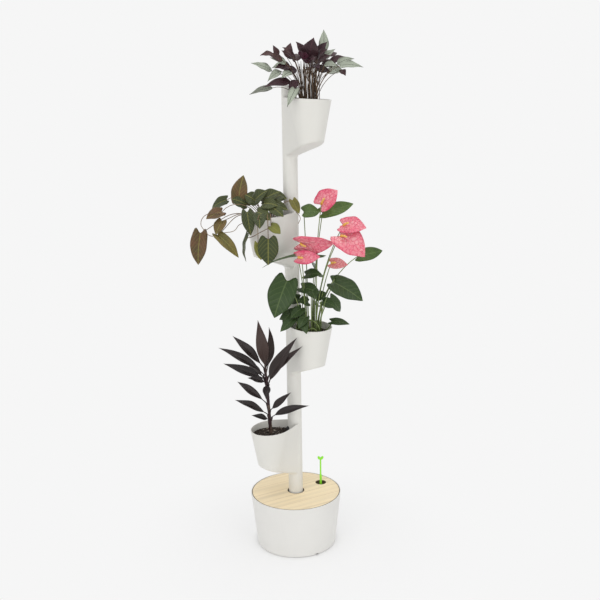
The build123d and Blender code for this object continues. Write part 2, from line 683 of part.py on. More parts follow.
ANTHURIUM_FLOWERS = [
    ((75, 41, 341), (101, 78, 378), 58, 0),
    ((156, 42, 291), (209, 73, 284), 53, 0),
    ((161, 26, 267), (219, 62, 217), 74, 0),
    ((75, -36, 247), (146, 23, 250), 52, 60),
    ((82, -50, 212), (131, -16, 214), 37, 35),
    ((121, 32, 191), (161, 55, 188), 30, 20),
]
ANTHURIUM_LEAVES = [
    ((55, -66, 148), (39, -100, 51), 74, 0),
    ((138, 29, 140), (209, 58, 95), 59, 0),
    ((45, 6, 323), (66, 45, 322), 42, 0),
    ((60, 60, 318), (90, 150, 333), 37, 20),
    ((118, 136, 198), (146, 206, 205), 37, 20),
    ((102, 0, 206), (20, -120, 186), 42, 70),
    ((69, -12, 159), (119, 0, 163), 32, 0),
    ((62, -21, 125), (119, -8, 113), 37, 0),
    ((82, 64, 87), (82, 102, 42), 32, 0),
    ((51, -48, 61), (47, -76, 34), 30, 0),
    ((112, 40, 30), (160, 62, 27), 22, 0),
    ((80, -40, 42), (116, -54, 12), 26, 0),
    ((36, 49, 166), (0, 99, 131), 48, 0),
    ((65, 90, 126), (57, 149, 96), 46, 0),
]
PHILODENDRON_LEAVES = [
    ((132, -48, 57), (121, -42, 125), 44, 0),
    ((146, -95, 57), (174, -132, 33), 32, 0),
    ((184, -41, 31), (229, -42, 15), 34, 0),
    ((188, -32, 8), (211, -22, -26), 31, 0),
    ((223, -101, -28), (233, -107, -114), 46, 0),
    ((203, -28, -27), (160, 11, -84), 31, 0),
    ((142, 27, -26), (150, 28, -96), 26, 65),
    ((138, 17, 32), (139, 34, -28), 34, 0),
    ((86, 4, 60), (44, 24, 80), 40, 0),
    ((77, 16, 47), (35, 52, 36), 36, 0),
    ((111, 20, 31), (93, 62, 12), 36, 0),
    ((16, 40, 58), (7, 56, 22), 24, 0),
    ((93, 64, -3), (75, 82, -23), 28, 0),
    ((104, 68, -36), (106, 70, -103), 54, 0),
    ((126, 52, -46), (122, 60, -90), 22, 20),
    ((88, -69, 53), (77, -122, 28), 40, 0),
]
TOP_PURPLE_LEAVES = [
    ((79, -4, 118), (90, 0, 167), 46, 0),
    ((74, 77, 127), (74, 106, 137), 18, 0),
    ((37, -40, 119), (38, -26, 157), 24, 0),
    ((11, -47, 125), (-2, -52, 153), 16, 0),
    ((42, -93, 125), (31, -126, 119), 18, 0),
    ((58, -48, 59), (25, -111, 44), 28, 0),
    ((135, 54, 87), (150, 56, 72), 18, 0),
    ((34, 50, 100), (8, 92, 112), 26, 0),
]
TOP_GREY_LEAVES = [
    ((80, 48, 132), (67, 69, 193), 26, 0),
    ((128, 47, 101), (162, 74, 115), 25, 0),
    ((167, 15, 93), (227, 33, 85), 25, 0),
    ((14, -72, 87), (-16, -117, 104), 23, 0),
    ((37, -62, 86), (23, -98, 61), 23, 0),
    ((58, -48, 83), (55, -80, 67), 23, 0),
    ((15, -71, 46), (-15, -124, 27), 20, 0),
    ((74, -44, 46), (88, -88, -6), 26, 0),
    ((69, 72, 85), (65, 125, 88), 26, 0),
]
ANTHURIUM_STALK = 1.5
VINE_RADIUS = 1.2
TOP_STEM_RADIUS = 1.0
SPADIX_RADIUS = 3.2
SPADIX_LENGTH = 26.0
STEM_INNER = 12.0
STEM_OUTER = 34.0
BLADE_ARCH = 0.1
LEAF_ROOT = 2.0


def light_direction(number):
    """The way the leaves face: up and to the front of the room, in the module's frame."""
    turn = radians(MODULE_AZIMUTHS[number])
    return Vector(-0.8 * sin(turn), -0.8 * cos(turn), 0.6)


def blade_frame(row, number):
    """Base point, midrib direction, upper-side direction and length of a leaf."""
    base, tip, width, turn = row
    start = Vector(base)
    chord = Vector(tip) - start
    along = chord.normalized()
    light = light_direction(number)
    facing = (light - along * light.dot(along)).normalized()
    facing = facing.rotate(Axis((0, 0, 0), along), turn)
    return start, along, facing, chord.length


def lance(length, width):
    """A strap-like outline, pointed at both ends."""
    with BuildSketch() as outline:
        with BuildLine():
            ThreePointArc((0, 0), (0.45 * length, width / 2), (length, 0))
            ThreePointArc((length, 0), (0.45 * length, -width / 2), (0, 0))
        make_face()
    return outline.sketch


def ovate(length, width):
    """An egg-shaped outline, widest near its base and pointed at the tip."""
    with BuildSketch() as outline:
        with BuildLine():
            ThreePointArc((0, 0), (0.1 * length, 0.32 * width), (0.38 * length, 0.5 * width))
            ThreePointArc((0.38 * length, 0.5 * width), (0.75 * length, 0.29 * width), (length, 0))
            ThreePointArc((length, 0), (0.75 * length, -0.29 * width), (0.38 * length, -0.5 * width))
            ThreePointArc((0.38 * length, -0.5 * width), (0.1 * length, -0.32 * width), (0, 0))
        make_face()
    return outline.sketch


def heart(length, width):
    """A heart outline with two rounded lobes behind the stalk."""
    lobe = (-0.16 * length, 0.27 * width)
    shoulder = (0.2 * length, 0.5 * width)
    flank = (0.66 * length, 0.3 * width)
    with BuildSketch() as outline:
        with BuildLine():
            ThreePointArc((0, 0), lobe, shoulder)
            ThreePointArc(shoulder, flank, (length, 0))
            ThreePointArc((length, 0), (flank[0], -flank[1]), (shoulder[0], -shoulder[1]))
            ThreePointArc((shoulder[0], -shoulder[1]), (lobe[0], -lobe[1]), (0, 0))
        make_face()
    return outline.sketch


def blade(row, number, outline):
    """A thin leaf blade, arched from base to tip, closed and solid."""
    start, along, facing, chord = blade_frame(row, number)
    start = start - along * LEAF_ROOT
    length = chord + LEAF_ROOT
    width = row[2]
    bend = (length**2 / 4 + (BLADE_ARCH * length) ** 2) / (2 * BLADE_ARCH * length)

    def arch(x):
        return BLADE_ARCH * length - bend + sqrt(bend**2 - (x - length / 2) ** 2)

    half = LEAF_THICKNESS / 2
    low = -0.35 * length
    high = 1.1 * length
    with BuildPart() as leaf:
        with BuildSketch(Plane(origin=start, x_dir=along, z_dir=facing)):
            add(outline(length, width))
        extrude(amount=0.3 * length, both=True)
        with BuildSketch(Plane(origin=start, x_dir=along, z_dir=along.cross(facing))):
            with BuildLine():
                ThreePointArc(
                    (low, arch(low) + half),
                    (length / 2, arch(length / 2) + half),
                    (high, arch(high) + half),
                )
                Line((high, arch(high) + half), (high, arch(high) - half))
                ThreePointArc(
                    (high, arch(high) - half),
                    (length / 2, arch(length / 2) - half),
                    (low, arch(low) - half),
                )
                Line((low, arch(low) - half), (low, arch(low) + half))
            make_face()
        extrude(amount=width, both=True, mode=Mode.INTERSECT)
    return leaf.part


def stems(rows, radius):
    """Stalks that rise from the soil, the tallest in the middle, and bend over to each leaf's base."""
    tallest = max(row[0][2] for row in rows)
    stalks = []
    for row in rows:
        end = Vector(row[0])
        root = Vector(POT_OFFSET, 0, 0)
        out = Vector(end.X - root.X, end.Y - root.Y, 0)
        reach = STEM_OUTER + (STEM_INNER - STEM_OUTER) * max(end.Z, 0) / tallest
        foot = root + out.normalized() * min(reach, 0.9 * out.length)
        with BuildPart() as stalk:
            with BuildLine() as path:
                TangentArc(foot, end, tangent=(0, 0, 1))
            with BuildSketch(Plane(origin=foot, z_dir=(0, 0, 1))):
                Circle(radius)
            sweep(path=path.line)
        stalks.append(stalk.part)
    return stalks


def spadix(row, number):
    """The spike that stands at the base of a flower hood."""
    start, along, facing, length = blade_frame(row, number)
    lean = (along * 0.5 + facing * 0.85).normalized()
    with BuildPart() as spike:
        with BuildSketch(Plane(origin=start + lean * 1.0, z_dir=lean)):
            Circle(SPADIX_RADIUS)
        extrude(amount=min(SPADIX_LENGTH, 0.6 * length))
    return spike.part


# Room kept free of leaves: each pot's wall and the column
with BuildPart() as keep_clear:
    add(pot_solid(-LEAF_CLEARANCE, -LEAF_CLEARANCE, LEAF_CLEARANCE))
    add(pot_solid(POT_WALL + LEAF_CLEARANCE, POT_FLOOR, 20), mode=Mode.SUBTRACT)
    add(neck_flare.part)
    with BuildSketch(Plane.XY.offset(-1)):
        Circle(COLUMN_RADIUS + LEAF_CLEARANCE)
    extrude(amount=MODULE_PITCH + 2)


def grow(pieces, number, apart_from):
    """Set leaves or stems in their pot, clear of the pots, the column and earlier pieces,
    without the small chips (in cubic millimetres) that the cuts leave."""
    with BuildPart() as group:
        with Locations(module_place(number)):
            with Locations((0, 0, SOIL_LEVEL)):
                add(pieces)
        for other in (number - 1, number, number + 1):
            if other in MODULE_AZIMUTHS:
                add(place(keep_clear, other), mode=Mode.SUBTRACT)
        for earlier in apart_from:
            add(earlier, mode=Mode.SUBTRACT)
        whole = group.solids().filter_by(lambda solid: solid.volume > SMALLEST_CUTTING)
        add(whole, mode=Mode.REPLACE)
    return group.part


with BuildPart() as cane:
    with BuildSketch(Plane.XY):
        with Locations((POT_OFFSET, 0)):
            Circle(CANE_RADIUS)
    with BuildSketch(Plane.XY.offset(CANE_TOP[2])):
        with Locations(CANE_TOP[:2]):
            Circle(0.7 * CANE_RADIUS)
    loft(ruled=True)

cordyline_cane = grow([cane.part], 4, [])
cordyline_leaves = grow([blade(row, 4, lance) for row in CORDYLINE_LEAVES], 4, [cordyline_cane])

anthurium_rows = ANTHURIUM_FLOWERS + ANTHURIUM_LEAVES
anthurium_stalks = grow(stems(anthurium_rows, ANTHURIUM_STALK), 3, [])
anthurium_leaves = grow([blade(row, 3, heart) for row in ANTHURIUM_LEAVES], 3, [anthurium_stalks])
anthurium_hoods = grow(
    [blade(row, 3, heart) for row in ANTHURIUM_FLOWERS],
    3,
    [anthurium_stalks, anthurium_leaves],
)
anthurium_spikes = grow(
    [spadix(row, 3) for row in ANTHURIUM_FLOWERS],
    3,
    [anthurium_stalks, anthurium_leaves, anthurium_hoods],
)

philodendron_vines = grow(stems(PHILODENDRON_LEAVES, VINE_RADIUS), 2, [])
philodendron_leaves = grow(
    [blade(row, 2, heart) for row in PHILODENDRON_LEAVES], 2, [philodendron_vines]
)

top_rows = TOP_PURPLE_LEAVES + TOP_GREY_LEAVES
top_stems = grow(stems(top_rows, TOP_STEM_RADIUS), 1, [])
top_purple_leaves = grow([blade(row, 1, ovate) for row in TOP_PURPLE_LEAVES], 1, [top_stems])
top_grey_leaves = grow(
    [blade(row, 1, ovate) for row in TOP_GREY_LEAVES], 1, [top_stems, top_purple_leaves]
)

# Every piece by name
pieces = {
    "tank_shell": tank_shell.part,
    "tank_lid": tank_lid.part,
    "cable_gland": cable_gland.part,
    "column_post": column_post.part,
    "hose_coupler": hose_coupler.part,
    "supply_hose": supply_hose.part,
    "pump_housing": place_pump(pump_housing_local),
    "pump_cover": place_pump(pump_cover_local),
    "pump_shaft": place_pump(pump_shaft_local),
    "pump_rotor": place_pump(pump_rotor_local),
    "pump_cups": place_pump(pump_cups_local),
    "float_guide": float_guide.part,
    "float_body": float_body.part,
    "indicator_stem": indicator_stem.part,
    "riser_plug": place(plug, 1),
    "cordyline_cane": cordyline_cane,
    "cordyline_leaves": cordyline_leaves,
    "anthurium_stalks": anthurium_stalks,
    "anthurium_leaves": anthurium_leaves,
    "anthurium_hoods": anthurium_hoods,
    "anthurium_spikes": anthurium_spikes,
    "philodendron_vines": philodendron_vines,
    "philodendron_leaves": philodendron_leaves,
    "top_plant_stems": top_stems,
    "top_plant_purple_leaves": top_purple_leaves,
    "top_plant_grey_leaves": top_grey_leaves,
}
for number in MODULE_AZIMUTHS:
    pieces[f"pot_{number}_shell"] = place(shell, number)
    pieces[f"pot_{number}_riser"] = place(riser, number)
    pieces[f"pot_{number}_nozzle"] = place(nozzle, number)
    pieces[f"pot_{number}_strainer"] = place(strainer, number)
    pieces[f"pot_{number}_soil"] = place(soil, number)

os.makedirs("parts", exist_ok=True)
for name, piece in pieces.items():
    piece.label = name
    export_step(piece, f"parts/{name}.step")
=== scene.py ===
"""Vertical planter: a tank with a wooden lid, a column of swivelling pots and four house plants.

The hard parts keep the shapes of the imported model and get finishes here. The plants and the
loose soil are modelled here. Metres, +Z up, the front faces -Y.
"""

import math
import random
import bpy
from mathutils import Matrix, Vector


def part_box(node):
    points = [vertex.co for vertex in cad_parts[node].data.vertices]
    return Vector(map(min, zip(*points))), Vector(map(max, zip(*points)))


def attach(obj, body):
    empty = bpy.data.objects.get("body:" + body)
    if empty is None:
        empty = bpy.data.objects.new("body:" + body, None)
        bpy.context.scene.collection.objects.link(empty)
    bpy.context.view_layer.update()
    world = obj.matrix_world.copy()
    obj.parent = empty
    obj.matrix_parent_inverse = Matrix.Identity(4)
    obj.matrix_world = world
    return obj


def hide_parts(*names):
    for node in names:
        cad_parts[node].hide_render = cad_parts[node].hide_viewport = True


bl_info = {
    "name": "Vertical planter",
    "version": (1, 0, 0),
    "blender": (4, 5, 0),
    "location": "View3D > Sidebar > Planter",
    "description": "Finishes, plants and stage for a self-watering tower of pots",
    "category": "Object",
}

import bmesh
import bpy
from bpy.props import FloatProperty, FloatVectorProperty, IntProperty, PointerProperty
from mathutils import Matrix, Vector

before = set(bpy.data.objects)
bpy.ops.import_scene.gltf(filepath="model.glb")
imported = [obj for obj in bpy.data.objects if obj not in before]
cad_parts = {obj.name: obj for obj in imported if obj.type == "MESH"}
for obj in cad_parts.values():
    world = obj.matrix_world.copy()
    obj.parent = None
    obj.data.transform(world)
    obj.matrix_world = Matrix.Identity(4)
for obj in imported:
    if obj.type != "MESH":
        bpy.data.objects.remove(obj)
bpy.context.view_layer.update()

MM = 0.001
POTS = (1, 2, 3, 4)
POT_TURNS = {1: -46, 2: -152, 3: -49, 4: -156}
PLANT_SEED = 7
CRUMB_SEED = 40
UP = Vector((0, 0, 1))

# Lid and column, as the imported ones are
LID_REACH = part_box("tank_lid")[1].x
COLUMN_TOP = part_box("pot_1_shell")[1].z
COLUMN_HOLE_RADIUS = 0.0235
FILL_HOLE_MIDDLE = (0.0738, 0.0498)
FILL_HOLE_RADIUS = 0.015

# Lid's planks: where the first joint lies, and the turn of the grain
PLANK_START = 0.0703
GRAIN_TURN = math.radians(-29)

# Lid's darkened edges: how far in from the rim and out from a hole they reach
BURNT_RIM = (0.0016, 0.0006)
BURNT_HOLE = (0.0004, 0.0012)

# Pot shape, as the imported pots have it. The rim falls outwards, by its drop at the pot's middle.
COLUMN_RADIUS = 0.020
POT_OFFSET = 0.073
POT_NOSE = 0.0195
RIM_RADIUS = 0.0587
POT_TAPER = 0.187
WALL = 0.0026
RIM_OVER_SOIL = 0.0249
RIM_FALL = math.tan(math.radians(5))
RIM_DROP = 0.0064
FLOOR_UNDER_SOIL = 0.1039
FLOOR_RISE = math.tan(math.radians(20))

# Loose crumbs of soil: where they fall in a pot, how large they are and their room to the walls
CRUMB_REACH = (0.02, 0.13)
CRUMB_SPREAD = 0.056
CRUMB_RADII = (0.0012, 0.0034)
CRUMB_GAP = 0.001

# Crumbs' widths and heights for a length of 1, and how far they are lifted, as a share of their radius
CRUMB_WIDTHS = (0.6, 1.0)
CRUMB_HEIGHTS = (0.5, 0.8)
CRUMB_LIFTS = (0.0, 0.7)

# Leaves face the light, keep off the plastic by a gap, and go over a rim that is near enough
LIGHT = Vector((0, -0.8, 0.6))
LEAF_GAP = 0.0016
RIM_BAND = 0.010
WALL_PROBE = 0.001

# Ripples along a leaf's edge, its most sideways bend (share of length), softness of its fold (share of width)
LEAF_RIPPLES = (1.4, 2.6)
LEAF_BEND = 0.06
LEAF_CREASE = 0.05

# Stems in millimetres: depth of their feet, spread of the low ones' feet, how much less the tallest have
FOOT_DEPTH = 4
FOOT_SPREAD = 34
FOOT_NARROWING = 22

# Most of the way out to its leaf that a foot goes, least bend of a stem in radians, and its tip's thickness
FOOT_SHARE = 0.9
LEAST_TURN = 0.02
STEM_TAPER = 0.75

# In metres: a stem whose leaf hangs below this level, by the wall or past it, goes over the rim
HANGING_LEVEL = 0.03
HANGING_MARGIN = 0.01
CREST_MARGIN = 0.004
CREST_HEIGHT = 0.009
HANGING_TAPER = 0.8

# Thickness of the vines' loose ends, as a share of the vines'
TRAIL_THICKNESS = 0.8

# Cane: its points in millimetres with their shares of its radius, and how it leans
CANE_POINTS = [((POT_OFFSET / MM, 0, -FOOT_DEPTH), 1.0), ((77, 0, 60), 0.85), ((86, 2, 192), 0.55)]
CANE_LEAN = (0.068, 0.01)

# Sheaths that clasp the cane: in millimetres, but their radii in metres
SHEATH_LENGTH = 52
SHEATH_BEND = 22
SHEATH_TUCK = 1.5
SHEATH_RADII = (0.0042, 0.0036, 0.0016)
# Share of a leaf's length that its sheath runs up
SHEATH_NECK = 0.06

# Bare stems of the top plant, in millimetres
BARE_STEMS = 48
BARE_STEM_TURN = 2.4
BARE_STEM_MIDDLE = 74
BARE_STEM_SPREAD = 30
BARE_STEM_SWAY = 9
BARE_STEM_HEIGHT = 84
BARE_STEM_STEP = 7

# Roots that show above the soil
ROOT_RADIUS = 0.0016

# Flower spikes: lean along and away from the hood, lift off it, longest share of it, taper and bow
SPIKE_LEAN = (0.65, 0.7)
SPIKE_LIFT = 0.0008
SPIKE_SHARE = 0.6
SPIKE_TAPER = 0.35
SPIKE_BOW = 0.08

# Lamps: place, target, width and power
LAMPS = {
    "key": ((-1.6, -2.7, 1.0), (0, 0, 0.4), 2.2, 17),
    "fill": ((2.3, -2.5, 0.6), (0, 0, 0.35), 2.0, 14),
    "top": ((0.1, -0.4, 3.1), (0, 0, 0.2), 3.6, 36),
}
# Backdrop, light of the sky, and the floor, whose shadow fades into the backdrop in two steps
BACKDROP_GREY = (0.922, 0.922, 0.922)
SKY_LIGHT = 0.72
FLOOR_REACH = 30.0
SHADOW_STEPS = ((0.106, 0.135, 0.55), (0.135, 0.55, 0.45))

# Camera, as fitted to the picture's rims and seams
CAMERA_PLACE = (0, -2.1497, 1.1511)
CAMERA_PITCH = 0.2011
CAMERA_ROLL = -0.0158
CAMERA_YAW = 0.0095
FOCAL_PIXELS = 796.4
PICTURE_PIXELS = 600
SENSOR_WIDTH = 36

# Leaves: base, tip and width in millimetres, turn from the light in degrees, tone from 0 to 1.
# Points are (out from the column's axis, across, above the soil) in each pot's own frame.
CORDYLINE_LEAVES = [
    ((86, 3, 180), (100, 10, 335), 33, 0, 1.0),
    ((84, 0, 178), (60, -27, 302), 22, 30, 0.5),
    ((86, 2, 188), (160, -48, 285), 25, 0, 0.2),
    ((85, 1, 170), (208, -38, 255), 25, 10, 0.1),
    ((85, 2, 160), (205, -4, 225), 25, -10, 0.0),
    ((84, 1, 150), (140, 4, 178), 19, 0, 0.1),
    ((80, 0, 88), (148, -66, 142), 22, 0, 0.2),
    ((77, 0, 54), (168, -32, 100), 22, 10, 0.1),
    ((76, 1, 42), (134, 8, 64), 17, 0, 0.0),
    ((82, 2, 140), (30, 105, 292), 33, 0, 0.3),
    ((84, 3, 166), (24, 115, 276), 22, 15, 0.4),
    ((76, 2, 48), (-2, 94, 104), 22, 0, 0.1),
    ((78, 2, 68), (30, 52, 128), 19, 10, 0.2),
    ((83, 3, 148), (102, 44, 120), 22, 0, 0.1),
    ((84, 0, 172), (47, -78, 240), 22, 0, 0.2),
    ((84, 1, 158), (102, -89, 184), 20, 0, 0.3),
]
ANTHURIUM_FLOWERS = [
    ((75, 41, 341), (101, 78, 378), 58, 0, 0.1),
    ((156, 42, 291), (209, 73, 284), 53, 0, 0.2),
    ((161, 26, 267), (219, 62, 217), 74, 0, 0.3),
    ((75, -36, 247), (146, 23, 250), 52, 60, 0.25),
    ((82, -50, 212), (131, -16, 214), 37, 35, 0.0),
    ((121, 32, 191), (161, 55, 188), 30, 20, 1.0),
]
ANTHURIUM_LEAVES = [
    ((55, -66, 148), (39, -100, 51), 74, 0, 0.2),
    ((138, 29, 140), (209, 58, 95), 59, 0, 0.1),
    ((45, 6, 323), (66, 45, 322), 42, 0, 0.75),
    ((60, 60, 318), (90, 150, 333), 37, 20, 1.0),
    ((118, 136, 198), (146, 206, 205), 37, 20, 0.7),
    ((102, 0, 206), (20, -120, 186), 42, 70, 0.6),
    ((69, -12, 159), (119, 0, 163), 32, 0, 0.1),
    ((62, -21, 125), (119, -8, 113), 37, 0, 0.2),
    ((82, 64, 87), (82, 102, 42), 32, 0, 0.4),
    ((51, -48, 61), (47, -76, 34), 30, 0, 0.0),
    ((112, 40, 30), (160, 62, 27), 22, 0, 0.0),
    ((80, -40, 42), (116, -54, 12), 26, 0, 0.1),
    ((36, 49, 166), (0, 99, 131), 48, 0, 0.3),
    ((65, 90, 126), (57, 149, 96), 46, 0, 0.2),
]
ANTHURIUM_YOUNG_LEAVES = [
    ((70, -30, 70), (62, -62, 48), 30, 0, 0.2),
    ((88, 30, 84), (112, 58, 66), 30, 0, 0.3),
    ((64, 18, 104), (40, 50, 88), 34, 0, 0.2),
    ((92, -14, 120), (128, -30, 104), 34, 0, 0.1),
    ((60, -10, 58), (30, -22, 34), 26, 0, 0.1),
    ((56, -40, 60), (30, -74, 40), 30, 0, 0.1),
    ((48, -28, 50), (16, -52, 20), 28, 0, 0.0),
    ((62, -52, 44), (52, -88, 12), 26, 0, 0.2),
    ((86, -30, 50), (96, -66, 26), 26, 0, 0.1),
    ((70, -6, 84), (66, -40, 92), 30, 0, 0.3),
    ((84, 14, 96), (106, 30, 110), 28, 0, 0.2),
    ((40, -10, 90), (12, -36, 80), 30, 0, 0.0),
    ((58, 30, 70), (36, 66, 56), 28, 0, 0.1),
]
# Roots that arch over the soil
ANTHURIUM_ROOTS = [
    [(58, -34, -3), (66, -32, 26), (84, -22, 38), (102, -10, 34), (110, 4, -3)],
    [(50, -16, -3), (54, -30, 20), (62, -42, 18), (68, -46, -3)],
    [(92, -30, -3), (98, -26, 18), (104, -14, 16), (108, -8, -3)],
]
PHILODENDRON_LEAVES = [
    ((132, -48, 57), (121, -42, 125), 44, 0, 0.9),
    ((146, -95, 57), (174, -132, 33), 32, 0, 0.1),
    ((184, -41, 31), (229, -42, 15), 34, 0, 1.0),
    ((188, -32, 8), (211, -22, -26), 31, 0, 0.75),
    ((223, -101, -28), (233, -107, -114), 46, 0, 1.0),
    ((203, -28, -27), (160, 11, -84), 31, 0, 0.65),
    ((142, 27, -26), (150, 28, -96), 26, 65, 0.0),
    ((138, 17, 32), (139, 34, -28), 34, 0, 0.05),
    ((86, 4, 60), (44, 24, 80), 40, 0, 0.2),
    ((77, 16, 47), (35, 52, 36), 36, 0, 0.25),
    ((111, 20, 31), (93, 62, 12), 36, 0, 0.3),
    ((16, 40, 58), (7, 56, 22), 24, 0, 0.6),
    ((93, 64, -3), (75, 82, -23), 28, 0, 0.45),
    ((104, 68, -36), (106, 70, -103), 54, 0, 0.1),
    ((126, 52, -46), (122, 60, -90), 22, 20, 0.5),
    ((88, -69, 53), (77, -122, 28), 40, 0, 0.2),
]
PHILODENDRON_YOUNG_LEAVES = [
    ((70, -10, 58), (56, -44, 66), 40, 0, 0.1),
    ((60, 20, 62), (30, 6, 72), 36, 0, 0.2),
    ((98, -10, 56), (122, -30, 74), 40, 0, 0.15),
    ((92, 24, 52), (66, 52, 48), 38, 0, 0.25),
    ((104, 0, 62), (84, 26, 84), 38, 0, 0.1),
    ((118, -30, 48), (150, -52, 62), 38, 0, 0.1),
    ((52, -4, 64), (24, 24, 62), 34, 0, 0.3),
    ((80, 40, 44), (58, 70, 20), 34, 0, 0.2),
    ((112, 36, 24), (124, 64, -8), 34, 0, 0.05),
    ((66, -40, 50), (34, -62, 40), 36, 0, 0.2),
    ((96, -44, 52), (112, -84, 58), 36, 0, 0.3),
]
# Loose trailing ends of the vines, as smooth lines
PHILODENDRON_TRAILS = [
    [(182, -30, 26), (229, -40, 26), (243, -44, 4), (236, -36, -15), (222, -32, -29), (203, -28, -27)],
    [(114, 7, 17), (136, 5, 5), (153, -2, -2), (166, -4, -16), (188, -20, -22)],
    [(150, 26, -34), (135, 32, -32), (118, 42, -22), (97, 60, -8)],
    [(7, 41, 27), (0, 51, 11), (7, 52, -4)],
]
TOP_PURPLE_LEAVES = [
    ((79, -4, 118), (90, 0, 167), 46, 0, 0.2),
    ((74, 77, 127), (74, 106, 137), 18, 0, 0.5),
    ((37, -40, 119), (38, -26, 157), 24, 0, 0.6),
    ((11, -47, 125), (-2, -52, 153), 16, 0, 0.7),
    ((42, -93, 125), (31, -126, 119), 18, 0, 0.8),
    ((58, -48, 59), (25, -111, 44), 28, 0, 0.2),
    ((135, 54, 87), (150, 56, 72), 18, 0, 0.6),
    ((34, 50, 100), (8, 92, 112), 26, 0, 0.3),
]
TOP_PURPLE_YOUNG_LEAVES = [
    ((70, -6, 104), (96, -40, 118), 30, 0, 0.1),
    ((66, 10, 108), (48, 48, 126), 30, 10, 0.3),
    ((80, 14, 108), (112, 42, 122), 30, 0, 0.4),
    ((52, -18, 112), (28, -2, 132), 26, 0, 0.6),
    ((60, -34, 110), (60, -66, 126), 28, 0, 0.5),
    ((86, -16, 106), (118, -20, 112), 28, 0, 0.2),
    ((50, -40, 96), (30, -78, 92), 30, 0, 0.2),
    ((64, 22, 98), (36, 44, 88), 28, 0, 0.1),
    ((72, -40, 62), (62, -62, 30), 24, 0, 0.2),
    ((92, 30, 104), (122, 58, 98), 26, 0, 0.4),
    ((84, -30, 112), (110, -62, 128), 28, 0, 0.2),
    ((40, -20, 118), (14, -36, 140), 24, 0, 0.6),
    ((58, 40, 112), (44, 84, 130), 26, 0, 0.3),
    ((96, 10, 116), (128, 12, 136), 26, 0, 0.2),
    ((70, 30, 120), (76, 66, 150), 24, 0, 0.1),
    ((46, 12, 116), (20, 40, 138), 24, 0, 0.5),
    ((90, -2, 96), (126, -14, 88), 28, 0, 0.0),
    ((76, 24, 92), (96, 58, 84), 26, 0, 0.2),
    ((56, -26, 90), (38, -62, 78), 28, 0, 0.1),
    ((40, -60, 110), (16, -92, 128), 22, 0, 0.7),
    ((100, 48, 108), (132, 84, 120), 22, 0, 0.4),
    ((62, -4, 128), (52, -24, 158), 24, 0, 0.4),
    ((88, 20, 128), (104, 36, 158), 24, 0, 0.1),
    ((72, -52, 118), (70, -88, 140), 22, 0, 0.6),
]
TOP_GREY_LEAVES = [
    ((80, 48, 132), (67, 69, 193), 26, 0, 0.2),
    ((128, 47, 101), (162, 74, 115), 25, 0, 0.5),
    ((167, 15, 93), (227, 33, 85), 25, 0, 0.4),
    ((14, -72, 87), (-16, -117, 104), 23, 0, 0.2),
    ((37, -62, 86), (23, -98, 61), 23, 0, 0.3),
    ((58, -48, 83), (55, -80, 67), 23, 0, 0.1),
    ((15, -71, 46), (-15, -124, 27), 20, 0, 0.8),
    ((74, -44, 46), (88, -88, -6), 26, 0, 0.0),
    ((69, 72, 85), (65, 125, 88), 26, 0, 0.3),
]
TOP_GREY_YOUNG_LEAVES = [
    ((100, 38, 106), (128, 62, 84), 20, 0, 0.4),
    ((44, -50, 104), (20, -84, 118), 22, 0, 0.2),
    ((118, 40, 96), (136, 66, 76), 18, 0, 0.5),
    ((86, 44, 118), (104, 66, 142), 20, 0, 0.3),
    ((110, 20, 100), (146, 30, 96), 22, 0, 0.5),
    ((30, -30, 104), (0, -60, 96), 22, 0, 0.2),
    ((52, 60, 104), (30, 96, 96), 22, 0, 0.3),
]


class PlanterSizes(bpy.types.PropertyGroup):
    """Sizes of the plants and the loose soil."""

    leaf_thickness: FloatProperty(
        name="Leaf thickness", description="Thickness of a leaf", default=0.0006, unit="LENGTH"
    )
    cane_radius: FloatProperty(
        name="Cane", description="Radius of the cane at the soil", default=0.005, unit="LENGTH"
    )
    stalk_radius: FloatProperty(
        name="Stalk", description="Radius of the flower and leaf stalks", default=0.0015, unit="LENGTH"
    )
    vine_radius: FloatProperty(
        name="Vine", description="Radius of the trailing vines", default=0.0011, unit="LENGTH"
    )
    stem_radius: FloatProperty(
        name="Thin stem", description="Radius of the top plant's stems", default=0.0009, unit="LENGTH"
    )
    spike_radius: FloatProperty(
        name="Spike", description="Radius of a flower's spike", default=0.0035, unit="LENGTH"
    )
    spike_length: FloatProperty(
        name="Spike length", description="Length of a flower's spike", default=0.026, unit="LENGTH"
    )
    crumbs: IntProperty(name="Crumbs", description="Loose crumbs of soil in a pot", default=420, min=0)
    plank_width: FloatProperty(
        name="Plank", description="Width of the lid's planks", default=0.046, unit="LENGTH"
    )


